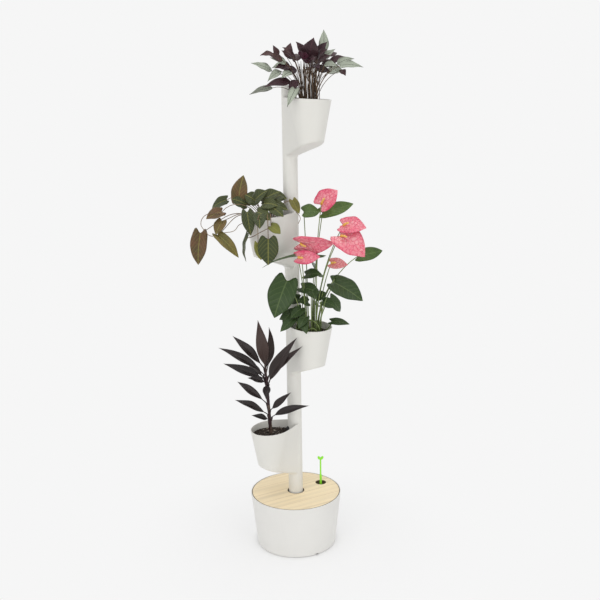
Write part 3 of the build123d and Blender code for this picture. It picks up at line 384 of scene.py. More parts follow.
class PlanterColours(bpy.types.PropertyGroup):
    """Main colours of the finishes."""

    plastic: FloatVectorProperty(
        name="Plastic", description="Tank", subtype="COLOR", default=(0.77, 0.76, 0.73)
    )
    pot_plastic: FloatVectorProperty(
        name="Pot plastic", description="Pots and column", subtype="COLOR", default=(0.735, 0.725, 0.68)
    )
    wood: FloatVectorProperty(
        name="Wood", description="Lid", subtype="COLOR", default=(0.90, 0.76, 0.52)
    )
    indicator: FloatVectorProperty(
        name="Indicator", description="Level indicator", subtype="COLOR", default=(0.32, 0.80, 0.05)
    )
    soil: FloatVectorProperty(
        name="Soil", description="Potting soil", subtype="COLOR", default=(0.030, 0.021, 0.015)
    )
    strap_leaf: FloatVectorProperty(
        name="Strap leaf", description="Long dark leaves", subtype="COLOR", default=(0.0120, 0.0090, 0.0094)
    )
    heart_leaf: FloatVectorProperty(
        name="Heart leaf", description="Large green leaves", subtype="COLOR", default=(0.030, 0.060, 0.015)
    )
    hood: FloatVectorProperty(
        name="Hood", description="Flower hoods", subtype="COLOR", default=(0.76, 0.11, 0.20)
    )
    spike: FloatVectorProperty(
        name="Spike", description="Flower spikes", subtype="COLOR", default=(0.88, 0.46, 0.05)
    )
    bronze_leaf: FloatVectorProperty(
        name="Bronze leaf", description="Ripe vine leaves", subtype="COLOR", default=(0.125, 0.058, 0.030)
    )
    purple_leaf: FloatVectorProperty(
        name="Purple leaf", description="Dark top leaves", subtype="COLOR", default=(0.026, 0.0085, 0.014)
    )
    silver_leaf: FloatVectorProperty(
        name="Silver leaf", description="Pale top leaves", subtype="COLOR", default=(0.36, 0.40, 0.32)
    )


class Value:
    """A shader socket that adds Math nodes when it takes part in sums."""

    def __init__(self, nodes, socket):
        self.nodes = nodes
        self.socket = socket

    def math(self, operation, first, second=0.0):
        return self.nodes.node("ShaderNodeMath", {"operation": operation}, {0: first, 1: second})

    def __add__(self, other):
        return self.math("ADD", self, other)

    def __radd__(self, other):
        return self.math("ADD", other, self)

    def __sub__(self, other):
        return self.math("SUBTRACT", self, other)

    def __rsub__(self, other):
        return self.math("SUBTRACT", other, self)

    def __mul__(self, other):
        return self.math("MULTIPLY", self, other)

    def __truediv__(self, other):
        return self.math("DIVIDE", self, other)

    def __pow__(self, other):
        return self.math("POWER", self, other)

    def __abs__(self):
        return self.math("ABSOLUTE", self)

    def fraction(self):
        return self.math("FRACT", self)

    def floor(self):
        return self.math("FLOOR", self)

    def larger(self, other):
        return self.math("MAXIMUM", self, other)


class Nodes:
    """A node tree being built: adds nodes and joins them."""

    def __init__(self, tree):
        self.tree = tree

    def node(self, kind, settings, inputs, output=0):
        """Add a node with its settings, then the values or links of its sockets."""
        node = self.tree.nodes.new(kind)
        for name, value in settings.items():
            if name == "stops":
                elements = node.color_ramp.elements
                while len(elements) < len(value):
                    elements.new(0.5)
                for element, (position, colour) in zip(elements, value):
                    element.position = position
                    element.color = (*colour, 1)
            else:
                setattr(node, name, value)
        for name, value in inputs.items():
            self.join(value, node.inputs[name])
        return Value(self, node.outputs[output])

    def join(self, value, socket):
        if isinstance(value, Value):
            self.tree.links.new(value.socket, socket)
        elif socket.type == "RGBA":
            socket.default_value = (*tuple(value)[:3], 1)
        else:
            socket.default_value = value

    def place(self):
        """The piece's own coordinates."""
        return self.node("ShaderNodeTexCoord", {}, {}, "Object")

    def mapped(self, vector, scale, turn=0.0):
        """Coordinates stretched, and turned about Z."""
        return self.node(
            "ShaderNodeMapping", {}, {"Vector": vector, "Scale": scale, "Rotation": (0, 0, turn)}
        )

    def part(self, vector, axis):
        """One of a vector's three values."""
        return self.node("ShaderNodeSeparateXYZ", {}, {0: vector}, axis)

    def noise(self, vector, scale, detail=3.0):
        return self.node(
            "ShaderNodeTexNoise", {}, {"Vector": vector, "Scale": scale, "Detail": detail}, "Fac"
        )

    def mix(self, factor, first, second):
        return self.node(
            "ShaderNodeMix", {"data_type": "RGBA"}, {0: factor, 6: first, 7: second}, 2
        )

    def step(self, value, low, high, start=0.0, end=1.0):
        """A smooth step from start to end as value goes from low to high."""
        return self.node(
            "ShaderNodeMapRange",
            {"interpolation_type": "SMOOTHSTEP"},
            {"Value": value, "From Min": low, "From Max": high, "To Min": start, "To Max": end},
        )

    def net(self, vector, scale):
        """How far a point is from the edges of a net of cells."""
        return self.node(
            "ShaderNodeTexVoronoi",
            {"feature": "DISTANCE_TO_EDGE"},
            {"Vector": vector, "Scale": scale},
            "Distance",
        )

    def ramp(self, value, stops):
        return self.node("ShaderNodeValToRGB", {"stops": stops}, {"Fac": value})

    def bump(self, height, distance, strength=1.0):
        return self.node(
            "ShaderNodeBump",
            {},
            {"Strength": strength, "Distance": distance, "Height": height},
            "Normal",
        )

    def tone(self):
        """The tone that each leaf or crumb carries."""
        return self.node("ShaderNodeAttribute", {"attribute_name": "tone"}, {}, "Fac")

    def leaf_lines(self):
        """The blade's own map, the way along the blade and the way out from its midrib."""
        uv = self.node("ShaderNodeUVMap", {"uv_map": "blade"}, {})
        return uv, self.part(uv, "X"), abs(self.part(uv, "Y") - 0.5) * 2


class Finish(Nodes):
    """A material being built round its shader."""

    def __init__(self, name):
        self.material = bpy.data.materials.new(name)
        self.material.use_nodes = True
        super().__init__(self.material.node_tree)
        self.shader = self.tree.nodes["Principled BSDF"]

    def shade(self, sockets):
        """Set or link the shader's sockets."""
        for name, value in sockets.items():
            self.join(value, self.shader.inputs[name])
        return self.material


def scaled(colour, factor):
    """A colour made lighter or darker."""
    return tuple(min(1.0, channel * factor) for channel in colour)


def moulded_plastic(name, colour, roughness=0.42):
    """Satin moulded plastic with a faint mottle and a fine skin."""
    finish = Finish(name)
    place = finish.place()
    cloud = finish.noise(place, 9.0, 4.0)
    skin = finish.noise(place, 1400.0, 2.0)
    tint = finish.mix(finish.step(cloud, 0.3, 0.7), scaled(colour, 0.985), scaled(colour, 1.012))
    return finish.shade(
        {
            "Base Color": tint,
            "Roughness": roughness + (cloud - 0.5) * 0.14,
            "Normal": finish.bump(skin, 0.00004, 0.5),
            "IOR": 1.46,
        }
    )


def black_rubber(name):
    """Dull rubber with a fine grain."""
    finish = Finish(name)
    grain = finish.noise(finish.place(), 700.0, 4.0)
    tint = finish.mix(grain, (0.012, 0.012, 0.012), (0.030, 0.030, 0.031))
    return finish.shade(
        {"Base Color": tint, "Roughness": 0.7 + grain * 0.15, "Normal": finish.bump(grain, 0.0001, 0.6)}
    )


def drawn_steel(name):
    """Shaft steel with fine lines round it."""
    finish = Finish(name)
    lines = finish.noise(finish.mapped(finish.place(), (60, 4000, 60)), 1.0, 2.0)
    tint = finish.mix(lines, (0.48, 0.48, 0.49), (0.62, 0.62, 0.63))
    return finish.shade({"Base Color": tint, "Metallic": 1.0, "Roughness": 0.25 + lines * 0.15})


def lime_plastic_with_painted_glow(name, colour):
    """Clear-looking lime plastic with a random mottle, and a painted glow: a faint emission of its own colour
    stands in for light shining through it.
    """
    finish = Finish(name)
    cloud = finish.noise(finish.place(), 60.0, 2.0)
    tint = finish.mix(cloud, scaled(colour, 0.9), scaled(colour, 1.08))
    return finish.shade(
        {
            "Base Color": tint,
            "Roughness": 0.16 + cloud * 0.08,
            "IOR": 1.49,
            "Transmission Weight": 0.25,
            # Painted glow: a faint emission of the plastic's own colour stands in for light shining through
            # it
            "Emission Color": tint,
            "Emission Strength": 0.12,
        }
    )


def axis_distance(finish, place, middle):
    """How far a piece's points are from an upright axis."""
    x = finish.part(place, "X") - middle[0]
    y = finish.part(place, "Y") - middle[1]
    return (x * x + y * y) ** 0.5


def plank_wood(name, colour, width):
    """Pale planks glued side by side, with straight grain and darkened edges at the rim and the holes."""
    finish = Finish(name)
    place = finish.place()
    plain = finish.mapped(place, (1, 1, 1), GRAIN_TURN)
    strip = (finish.part(plain, "Y") + PLANK_START) / width
    number = strip.floor()
    shift = finish.node("ShaderNodeTexWhiteNoise", {"noise_dimensions": "1D"}, {"W": number}, "Value")
    shove = finish.node("ShaderNodeCombineXYZ", {}, {"X": shift * 3.0, "Z": shift * 5.0})
    board = finish.node("ShaderNodeVectorMath", {"operation": "ADD"}, {0: plain, 1: shove})
    fibre = finish.noise(finish.mapped(board, (9, 420, 9)), 1.0, 5.0)
    band = finish.noise(finish.mapped(board, (3, 70, 3)), 1.0, 3.0)
    rings = finish.node(
        "ShaderNodeTexWave",
        {"bands_direction": "Y"},
        {"Vector": board, "Scale": 46.0, "Distortion": 3.2, "Detail": 2.0, "Detail Scale": 0.6},
        "Fac",
    )
    tint = finish.mix(finish.step(band, 0.3, 0.75), scaled(colour, 1.08), scaled(colour, 0.86))
    tint = finish.mix(rings * 0.18, tint, (0.72, 0.53, 0.31))
    tint = finish.mix(finish.step(fibre, 0.52, 0.75) * 0.3, tint, (0.68, 0.49, 0.28))
    tint = finish.mix(shift * 0.35, tint, (0.91, 0.75, 0.49))
    edge = abs(strip.fraction() - 0.5)
    joint = finish.step(edge, 0.478, 0.497)
    tint = finish.mix(joint * 0.65, tint, (0.42, 0.26, 0.12))
    rim = axis_distance(finish, place, (0, 0))
    burnt = finish.step(rim, LID_REACH - BURNT_RIM[0], LID_REACH - BURNT_RIM[1])
    for middle, reach in (((0, 0), COLUMN_HOLE_RADIUS), (FILL_HOLE_MIDDLE, FILL_HOLE_RADIUS)):
        ring = axis_distance(finish, place, middle)
        burnt = burnt.larger(finish.step(ring, reach + BURNT_HOLE[0], reach + BURNT_HOLE[1], 1.0, 0.0))
    tint = finish.mix(burnt * 0.9, tint, (0.075, 0.045, 0.024))
    relief = fibre * 0.6 + band * 0.4 - joint
    return finish.shade(
        {
            "Base Color": tint,
            "Roughness": 0.48 + fibre * 0.18,
            "Normal": finish.bump(relief, 0.0002, 0.6),
            "IOR": 1.45,
        }
    )


def damp_soil(name, colour):
    """Dark crumbly soil with a few pale bits."""
    finish = Finish(name)
    place = finish.place()
    lumps = finish.noise(place, 260.0, 6.0)
    tint = finish.mix(finish.step(lumps, 0.35, 0.7), scaled(colour, 0.5), scaled(colour, 2.2))
    tint = finish.mix(finish.step(finish.tone(), 0.82, 0.95), tint, (0.42, 0.37, 0.29))
    return finish.shade(
        {
            "Base Color": tint,
            "Roughness": 0.82 + lumps * 0.15,
            "Normal": finish.bump(lumps, 0.003, 0.9),
        }
    )


def bark(name):
    """Brown cane with rings where old leaves dropped."""
    finish = Finish(name)
    rings = finish.node(
        "ShaderNodeTexWave",
        {"bands_direction": "Z"},
        {"Vector": finish.place(), "Scale": 30.0, "Distortion": 2.0, "Detail": 2.0},
        "Fac",
    )
    speck = finish.noise(finish.place(), 180.0, 4.0)
    tint = finish.mix(speck, (0.045, 0.030, 0.022), (0.15, 0.10, 0.065))
    tint = finish.mix(finish.step(rings, 0.75, 0.95) * 0.6, tint, (0.02, 0.013, 0.011))
    return finish.shade(
        {
            "Base Color": tint,
            "Roughness": 0.6 + speck * 0.2,
            "Normal": finish.bump(rings + speck * 0.4, 0.0006, 0.7),
        }
    )


def green_stem(name, low, high):
    """Soft stem, streaked along its length."""
    finish = Finish(name)
    streak = finish.noise(finish.mapped(finish.place(), (140, 140, 16)), 1.0, 3.0)
    tint = finish.mix(finish.step(streak, 0.3, 0.7), low, high)
    return finish.shade({"Base Color": tint, "Roughness": 0.4 + streak * 0.15, "IOR": 1.42})


def strap_leaf(name, colour):
    """Long dark leaf with fine lengthwise lines and a warmer flush on the young ones."""
    finish = Finish(name)
    uv, _, out = finish.leaf_lines()
    lines = finish.noise(finish.mapped(uv, (2.5, 60, 1)), 1.0, 3.0)
    cloud = finish.noise(finish.place(), 26.0, 3.0)
    tint = finish.mix(finish.step(cloud, 0.3, 0.7), scaled(colour, 0.75), scaled(colour, 1.45))
    tint = finish.mix(finish.tone() * 0.75, tint, (0.062, 0.034, 0.026))
    tint = finish.mix(finish.step(out, 0.82, 1.0) * 0.4, tint, (0.055, 0.014, 0.018))
    tint = finish.mix(finish.step(out, 0.0, 0.07, 1.0, 0.0) * 0.5, tint, (0.060, 0.034, 0.032))
    tint = finish.mix(finish.step(lines, 0.4, 0.8) * 0.35, tint, scaled(colour, 2.4))
    return finish.shade(
        {
            "Base Color": tint,
            "Roughness": 0.26 + lines * 0.16,
            "Specular IOR Level": 0.4,
            "Normal": finish.bump(lines + finish.step(out, 0.0, 0.1) * 0.8, 0.0004, 0.7),
            "IOR": 1.42,
        }
    )


def veined_leaf(name, face, tone_stops, vein, count, slope, strength, gloss, velvet=0.0, margin=0.0):
    """Broad leaf: a midrib, side veins that sweep to the edge and a net of fine veins between them.

    Tone stops colour a leaf by its tone, and without them it is plain. Slope is how far the side veins
    sweep, strength how much they show, and margin how much of their colour the edge takes.
    """
    finish = Finish(name)
    uv, along, out = finish.leaf_lines()
    wander = finish.noise(uv, 5.0, 2.0) * 0.05
    phase = (along - out**1.4 * slope + wander) * count
    side = abs(phase.fraction() - 0.5)
    veins = finish.step(side, 0.40, 0.5)
    midrib = finish.step(out, 0.015, 0.075, 1.0, 0.0)
    net = finish.net(uv, 30.0)
    mesh = finish.step(net, 0.0, 0.12, 1.0, 0.0)
    cloud = finish.noise(finish.place(), 45.0, 4.0)
    body = finish.ramp(finish.tone(), tone_stops) if tone_stops else face
    tint = finish.mix(finish.step(cloud, 0.35, 0.72) * 0.55, body, face)
    tint = finish.mix((veins * 0.6).larger(midrib) * strength, tint, vein)
    tint = finish.mix(mesh * 0.12 * strength, tint, vein)
    if margin:
        edge = finish.step(out, 0.55, 0.95) * finish.step(cloud, 0.3, 0.6)
        tint = finish.mix(edge * margin, tint, vein)
    quilt = finish.step(side, 0.05, 0.5, 1.0, 0.0) + finish.step(net, 0.0, 0.25) * 0.25
    sockets = {
        "Base Color": tint,
        "Roughness": gloss + cloud * 0.16,
        "Specular IOR Level": 0.35,
        "Normal": finish.bump(quilt - midrib * 0.8, 0.0005, 0.7),
        "IOR": 1.42,
    }
    if velvet:
        sockets["Sheen Weight"] = velvet
        sockets["Sheen Roughness"] = 0.4
    return finish.shade(sockets)


def flower_hood(name, colour):
    """Waxy pink hood, paler towards its middle, with a net of darker veins."""
    finish = Finish(name)
    uv, along, out = finish.leaf_lines()
    wander = finish.noise(uv, 4.0, 2.0) * 0.08
    phase = (along - out**1.3 * 0.30 + wander) * 7.0
    side = abs(phase.fraction() - 0.5)
    net = finish.net(uv, 7.0)
    mesh = finish.step(net, 0.0, 0.15, 1.0, 0.0)
    veins = finish.step(side, 0.38, 0.5)
    cloud = finish.noise(finish.place(), 50.0, 4.0)
    middle = finish.step(out, 0.15, 0.9, 1.0, 0.0) * finish.step(along, -0.1, 0.75, 1.0, 0.25)
    tint = finish.mix(middle * 0.8, colour, (0.87, 0.44, 0.47))
    tint = finish.mix(finish.step(cloud, 0.4, 0.7) * 0.4, tint, (0.89, 0.48, 0.50))
    tint = finish.mix(finish.step(out, 0.6, 1.0) * 0.7, tint, (0.70, 0.035, 0.13))
    tint = finish.mix(finish.tone() * 0.75, tint, (0.80, 0.42, 0.38))
    tint = finish.mix(mesh * 0.55 + veins * 0.3, tint, (0.66, 0.03, 0.11))
    tint = finish.mix(finish.step(out, 0.0, 0.05, 1.0, 0.0) * 0.4, tint, (0.70, 0.05, 0.12))
    relief = finish.step(net, 0.0, 0.3) - veins * 0.5
    return finish.shade(
        {
            "Base Color": tint,
            "Roughness": 0.26 + cloud * 0.1,
            "Normal": finish.bump(relief, 0.0012, 0.8),
            "IOR": 1.45,
            "Subsurface Weight": 0.12,
            "Subsurface Radius": (0.004, 0.0015, 0.0015),
        }
    )


def grainy_spike(name, colour):
    """Yellow spike covered in tiny grains, paler towards its tip."""
    finish = Finish(name)
    grains = finish.node("ShaderNodeTexVoronoi", {}, {"Vector": finish.place(), "Scale": 900.0}, "Distance")
    _, along, _ = finish.leaf_lines()
    tint = finish.mix(along, scaled(colour, 0.95), (0.90, 0.58, 0.16))
    tint = finish.mix(finish.step(grains, 0.3, 0.7) * 0.4, tint, (0.62, 0.25, 0.03))
    return finish.shade(
        {
            "Base Color": tint,
            "Roughness": 0.55 + grains * 0.1,
            "Normal": finish.bump(1.0 - grains, 0.0006, 0.9),
        }
    )


def dress(node, material):
    """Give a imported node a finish."""
    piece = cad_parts[node]
    piece.data.materials.clear()
    piece.data.materials.append(material)


def pot_frame(number):
    """A pot's own frame: on the column's axis at the soil's level, +X through the pot."""
    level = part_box(f"pot_{number}_soil")[1].z
    turn = Matrix.Rotation(math.radians(POT_TURNS[number]), 4, "Z")
    return Matrix.Translation((0, 0, level)) @ turn


def wall_distance(point):
    """How far a point in a pot's frame is from the pot's outside, level with it; below 0 is inside."""
    radius = RIM_RADIUS + (point.z - RIM_OVER_SOIL + RIM_DROP) * POT_TAPER
    slope = (POT_NOSE - radius) / POT_OFFSET
    lean = math.sqrt(1 - slope * slope)
    side = abs(point.y)
    reach = lean * point.x - slope * side
    if reach < 0:
        return math.hypot(side, point.x) - POT_NOSE
    if reach > lean * POT_OFFSET:
        return math.hypot(side, point.x - POT_OFFSET) - radius
    return side * lean + point.x * slope - POT_NOSE


def clear_of_plastic(point, home, frames, backs):
    """Move a point of a leaf off the column and off the walls of the pots near it."""
    gap = LEAF_GAP
    around = math.hypot(point.x, point.y)
    if around < COLUMN_RADIUS + gap and point.z < COLUMN_TOP:
        push = (COLUMN_RADIUS + gap) / max(around, 1e-5)
        point = Vector((point.x * push, point.y * push, point.z))
    for number in POTS:
        if abs(number - home) > 1:
            continue
        local = backs[number] @ point
        rim = RIM_OVER_SOIL - local.x * RIM_FALL
        floor = (local.x - POT_OFFSET) * FLOOR_RISE - FLOOR_UNDER_SOIL
        if not floor - gap < local.z < rim + gap:
            continue
        distance = wall_distance(local)
        if distance > gap:
            continue
        if number == home and distance < -WALL - gap:
            local.z = max(local.z, gap)
        elif rim - local.z < RIM_BAND:
            local.z = rim + gap
        else:
            step = Vector((WALL_PROBE, 0, 0)), Vector((0, WALL_PROBE, 0))
            slope = Vector((wall_distance(local + s) - distance for s in step)).to_3d()
            local += slope.normalized() * (gap - distance)
        point = frames[number] @ local
    return point


def smooth_lance(s):
    """Share of the width at a share of the length: a strap leaf with a narrow foot."""
    return 0.13 * (1 - s) + 0.93 * math.sin(math.pi * max(0.0, (s - 0.2) / 0.8) ** 0.85) ** 1.15


def smooth_egg(s):
    """The same for an egg-shaped leaf."""
    return math.sin(math.pi * s**0.62) ** 1.15 if s < 1 else 0.0


def smooth_heart(s):
    """The same for a heart-shaped leaf, wide at its foot."""
    if s >= 1:
        return 0.0
    return math.sin(math.pi * (0.41 + 0.59 * s**1.15) ** 1.25) ** 0.85 * (1 - 0.25 * s**4)


class Plant:
    """Leaves and stems of one pot's plant, gathered into meshes."""

    def __init__(self, number):
        self.number = number
        self.frames = {n: pot_frame(n) for n in POTS}
        self.backs = {n: self.frames[n].inverted() for n in POTS}
        self.frame = self.frames[number]
        self.back = self.backs[number]
        self.chance = random.Random(PLANT_SEED + number)

    def world(self, point):
        """A point in millimetres in the pot's frame, taken to the world."""
        return self.frame @ (Vector(point) * MM)

    def blade_axes(self, row):
        """Base, way along, way across, upper side and length of a leaf, in the world."""
        foot, tip, _, turn, _ = row
        base = self.world(foot)
        chord = self.world(tip) - base
        along = chord.normalized()
        facing = (LIGHT - along * LIGHT.dot(along)).normalized()
        facing = Matrix.Rotation(math.radians(turn), 3, along) @ facing
        return base, along, facing.cross(along), facing, chord.length

    def leaves(self, rows, outline, lobe=0.0, fold=0.15, arch=0.1, wave=0.03, cells=(22, 10)):
        """One mesh of leaf blades: each is a grid drawn out to its outline, folded and arched."""
        mesh = bmesh.new()
        tones = mesh.verts.layers.float.new("tone")
        sheet = mesh.loops.layers.uv.new("blade")
        for row in rows:
            base, along, across, facing, length = self.blade_axes(row)
            _, _, breadth, _, tone = row
            width = breadth * MM
            crease = LEAF_CREASE * width
            swing = self.chance.uniform(0, 1)
            ripple = self.chance.uniform(*LEAF_RIPPLES)
            bend = self.chance.uniform(-LEAF_BEND, LEAF_BEND)
            grid = bmesh.ops.create_grid(mesh, x_segments=cells[0], y_segments=cells[1], size=1.0)
            spots = {}
            for vert in grid["verts"]:
                s = (vert.co.x + 1) / 2
                t = vert.co.y
                back = lobe * (1 - s) ** 2.2 * math.sin(math.pi * abs(t) ** 1.55)
                x = length * (s - back)
                y = width / 2 * outline(s) * t
                z = 4 * arch * length * s * (1 - s)
                z += fold * (math.sqrt(y * y + crease**2) - crease)
                calm = min(1, 4 * (1 - s))
                z += wave * width * t * t * math.sin(2 * math.pi * (ripple * s + swing)) * calm
                spots[vert] = (x / length, y / width + 0.5)
                y += bend * length * s * s
                point = base + along * x + across * y + facing * z
                vert.co = clear_of_plastic(point, self.number, self.frames, self.backs)
                vert[tones] = tone
            for face in {face for vert in grid["verts"] for face in vert.link_faces}:
                face.smooth = True
                for loop in face.loops:
                    loop[sheet].uv = spots[loop.vert]
            bmesh.ops.remove_doubles(mesh, verts=grid["verts"], dist=1e-5)
        bmesh.ops.dissolve_degenerate(mesh, edges=mesh.edges, dist=1e-6)
        return mesh

    def arc(self, foot, end, radius):
        """A stem that leaves the soil straight up and bends over to its end."""
        chord = end - foot
        way = chord.normalized()
        turn = max(UP.angle(way), LEAST_TURN)
        leave = 2 * UP.dot(way) * way - UP
        reach = chord.length / (2 * math.sin(turn)) * 4 / 3 * math.tan(turn / 2)
        return [(foot, foot + UP * reach, radius), (end, end - leave * reach, radius * STEM_TAPER)]

    def foot(self, end, tallest):
        """Where a stem leaves the soil: the tallest in the middle, low ones further out."""
        out = Vector((end[0] - POT_OFFSET / MM, end[1]))
        reach = FOOT_SPREAD - FOOT_NARROWING * max(end[2], 0) / tallest
        spot = out.normalized() * min(reach, FOOT_SHARE * out.length)
        return (POT_OFFSET / MM + spot.x, spot.y, -FOOT_DEPTH)

    def stems(self, rows, radius):
        """A stem for each leaf; those that hang outside go over the rim."""
        tallest = max(row[0][2] for row in rows)
        runs = []
        for row in rows:
            foot = self.world(self.foot(row[0], tallest))
            end = self.world(row[0])
            run = self.arc(foot, end, radius)
            local = self.back @ end
            if local.z < HANGING_LEVEL and wall_distance(local) > -HANGING_MARGIN:
                crest = self.frame @ self.crest(foot, end)
                run = [(foot, None, radius), (crest, None, radius), (end, None, radius * HANGING_TAPER)]
            runs.append(run)
        return runs

    def crest(self, foot, end):
        """Where a hanging stem goes over the rim, in the pot's frame."""
        for percent in range(20, 100, 2):
            spot = self.back @ foot.lerp(end, percent / 100)
            if wall_distance(Vector((spot.x, spot.y, RIM_OVER_SOIL))) > -CREST_MARGIN:
                break
        spot.z = RIM_OVER_SOIL - spot.x * RIM_FALL + CREST_HEIGHT
        return spot

    def show(self, name, mesh, materials, slot, nodes=(), thickness=0.0):
        """Turn a mesh into a piece that rides on the plant's pot."""
        show(name, mesh, materials, f"module_{self.number}", nodes, thickness)


def stem_mesh(runs):
    """Round stems along smooth lines. A run's points are place, handle (none for an even bend) and radius."""
    curve = bpy.data.curves.new("stems", "CURVE")
    curve.dimensions = "3D"
    curve.bevel_depth = 1.0
    curve.bevel_resolution = 2
    curve.resolution_u = 10
    curve.use_fill_caps = True
    for run in runs:
        spline = curve.splines.new("BEZIER")
        spline.bezier_points.add(len(run) - 1)
        for point, (place, handle, radius) in zip(spline.bezier_points, run):
            point.co = place
            point.radius = radius
            point.handle_left_type = "AUTO" if handle is None else "FREE"
            point.handle_right_type = point.handle_left_type
            if handle is not None:
                point.handle_left = handle
                point.handle_right = handle
    holder = bpy.data.objects.new("stems", curve)
    mesh = bpy.data.meshes.new_from_object(holder)
    bpy.data.objects.remove(holder)
    bpy.data.curves.remove(curve)
    mesh.shade_smooth()
    mesh.materials.clear()
    return mesh


def show(name, mesh, materials, body, nodes=(), thickness=0.0):
    """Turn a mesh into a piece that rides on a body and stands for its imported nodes."""
    if isinstance(mesh, bmesh.types.BMesh):
        made = bpy.data.meshes.new(name)
        mesh.to_mesh(made)
        mesh.free()
        mesh = made
    mesh.name = name
    for material in materials:
        mesh.materials.append(material)
    piece = bpy.data.objects.new(name, mesh)
    bpy.context.scene.collection.objects.link(piece)
    if thickness:
        wall = piece.modifiers.new("Thickness", "SOLIDIFY")
        wall.thickness = thickness
        wall.offset = 0
        wall.material_offset = len(materials) - 1
    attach(piece, body)
    if nodes:
        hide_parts(*nodes)


def sizes():
    return bpy.context.scene.planter_sizes


def colours():
    return bpy.context.scene.planter_colours


class PLANTER_OT_hard_parts(bpy.types.Operator):
    """Finish the tank, the pots, the column and what is inside them"""

    bl_idname = "planter.hard_parts"
    bl_label = "Tank, pots and column"

    def execute(self, context):
        white = moulded_plastic("white_plastic", colours().plastic)
        warm = moulded_plastic("warm_plastic", colours().pot_plastic)
        dark = moulded_plastic("dark_plastic", (0.03, 0.03, 0.032), 0.5)
        grey = moulded_plastic("grey_plastic", (0.35, 0.35, 0.34), 0.5)
        rotor = moulded_plastic("rotor_plastic", (0.06, 0.06, 0.07), 0.45)
        rubber = black_rubber("black_rubber")
        finishes = {
            white: ["tank_shell"],
            warm: ["column_post"] + [f"pot_{n}_shell" for n in POTS],
            dark: ["hose_coupler", "pump_housing", "pump_cover", "riser_plug"]
            + [f"pot_{n}_{piece}" for n in POTS for piece in ("riser", "nozzle", "strainer")],
            grey: ["float_guide", "float_body"],
            rotor: ["pump_rotor"],
            rubber: ["cable_gland", "supply_hose", "pump_cups"],
            drawn_steel("shaft_steel"): ["pump_shaft"],
        }
        for material, nodes in finishes.items():
            for node in nodes:
                dress(node, material)
        return {"FINISHED"}


class PLANTER_OT_lid(bpy.types.Operator):
    """Finish the wooden lid"""

    bl_idname = "planter.lid"
    bl_label = "Wooden lid"

    def execute(self, context):
        dress("tank_lid", plank_wood("lid_wood", colours().wood, sizes().plank_width))
        return {"FINISHED"}


class PLANTER_OT_indicator(bpy.types.Operator):
    """Finish the level indicator"""

    bl_idname = "planter.indicator"
    bl_label = "Level indicator"

    def execute(self, context):
        dress("indicator_stem", lime_plastic_with_painted_glow("green_plastic", colours().indicator))
        return {"FINISHED"}


class PLANTER_OT_soil(bpy.types.Operator):
    """Finish the soil and strew loose crumbs over it"""

    bl_idname = "planter.soil"
    bl_label = "Soil"

    def execute(self, context):
        material = damp_soil("soil", colours().soil)
        for number in POTS:
            dress(f"pot_{number}_soil", material)
            home = pot_frame(number)
            chance = random.Random(CRUMB_SEED + number)
            mesh = bmesh.new()
            tones = mesh.verts.layers.float.new("tone")
            laid = 0
            while laid < sizes().crumbs:
                out = chance.uniform(*CRUMB_REACH)
                spot = Vector((out, chance.uniform(-CRUMB_SPREAD, CRUMB_SPREAD), 0))
                size = chance.uniform(*CRUMB_RADII)
                if wall_distance(spot) > -WALL - size - CRUMB_GAP:
                    continue
                if math.hypot(spot.x, spot.y) < COLUMN_RADIUS + size + CRUMB_GAP:
                    continue
                turn = Matrix.Rotation(chance.uniform(0, 6), 4, "Z") @ Matrix.Rotation(1.1 * laid, 4, "X")
                width = chance.uniform(*CRUMB_WIDTHS)
                squeeze = Matrix.Diagonal((1.0, width, chance.uniform(*CRUMB_HEIGHTS), 1))
                lift = Matrix.Translation((0, 0, chance.uniform(*CRUMB_LIFTS) * size))
                place = home @ Matrix.Translation(spot) @ lift @ turn @ squeeze
                crumb = bmesh.ops.create_icosphere(mesh, subdivisions=1, radius=size, matrix=place)
                tone = chance.random()
                for vert in crumb["verts"]:
                    vert[tones] = tone
                laid += 1
            show(f"pot_{number}_crumbs", mesh, [material], f"module_{number}")
        return {"FINISHED"}


class PLANTER_OT_cordyline(bpy.types.Operator):
    """Grow the dark strap-leaved plant in the lowest pot"""

    bl_idname = "planter.cordyline"
    bl_label = "Strap-leaved plant"

    def execute(self, context):
        plant = Plant(4)
        radius = sizes().cane_radius
        cane = [(plant.world(point), None, share * radius) for point, share in CANE_POINTS]
        plant.show("cane", stem_mesh([cane]), [bark("cane_bark")], "cane_bark", ["cordyline_cane"])
        leaf = strap_leaf("strap_leaf", colours().strap_leaf)
        plant.show("leaf_sheaths", stem_mesh(self.sheaths(plant)), [leaf], "strap_leaf")
        leaves = plant.leaves(CORDYLINE_LEAVES, smooth_lance, fold=0.45, arch=0.13, wave=0.07, cells=(30, 8))
        thickness = sizes().leaf_thickness
        plant.show("strap_leaves", leaves, [leaf], "strap_leaf", ["cordyline_leaves"], thickness)
        return {"FINISHED"}

    def sheaths(self, plant):
        """Runs of the sheaths, each from inside the cane to the neck of its leaf."""
        runs = []
        for base, tip, *_ in CORDYLINE_LEAVES:
            low = max(2, base[2] - SHEATH_LENGTH)
            out = Vector((tip[0] - base[0], tip[1] - base[1])).normalized() * SHEATH_TUCK
            start = plant.world((POT_OFFSET / MM + CANE_LEAN[0] * low, CANE_LEAN[1] * low, low))
            bend = plant.world((base[0] - out.x, base[1] - out.y, base[2] - SHEATH_BEND))
            neck = plant.world(Vector(base).lerp(Vector(tip), SHEATH_NECK))
            places = (start, bend, neck)
            runs.append([(place, None, thick) for place, thick in zip(places, SHEATH_RADII)])
        return runs


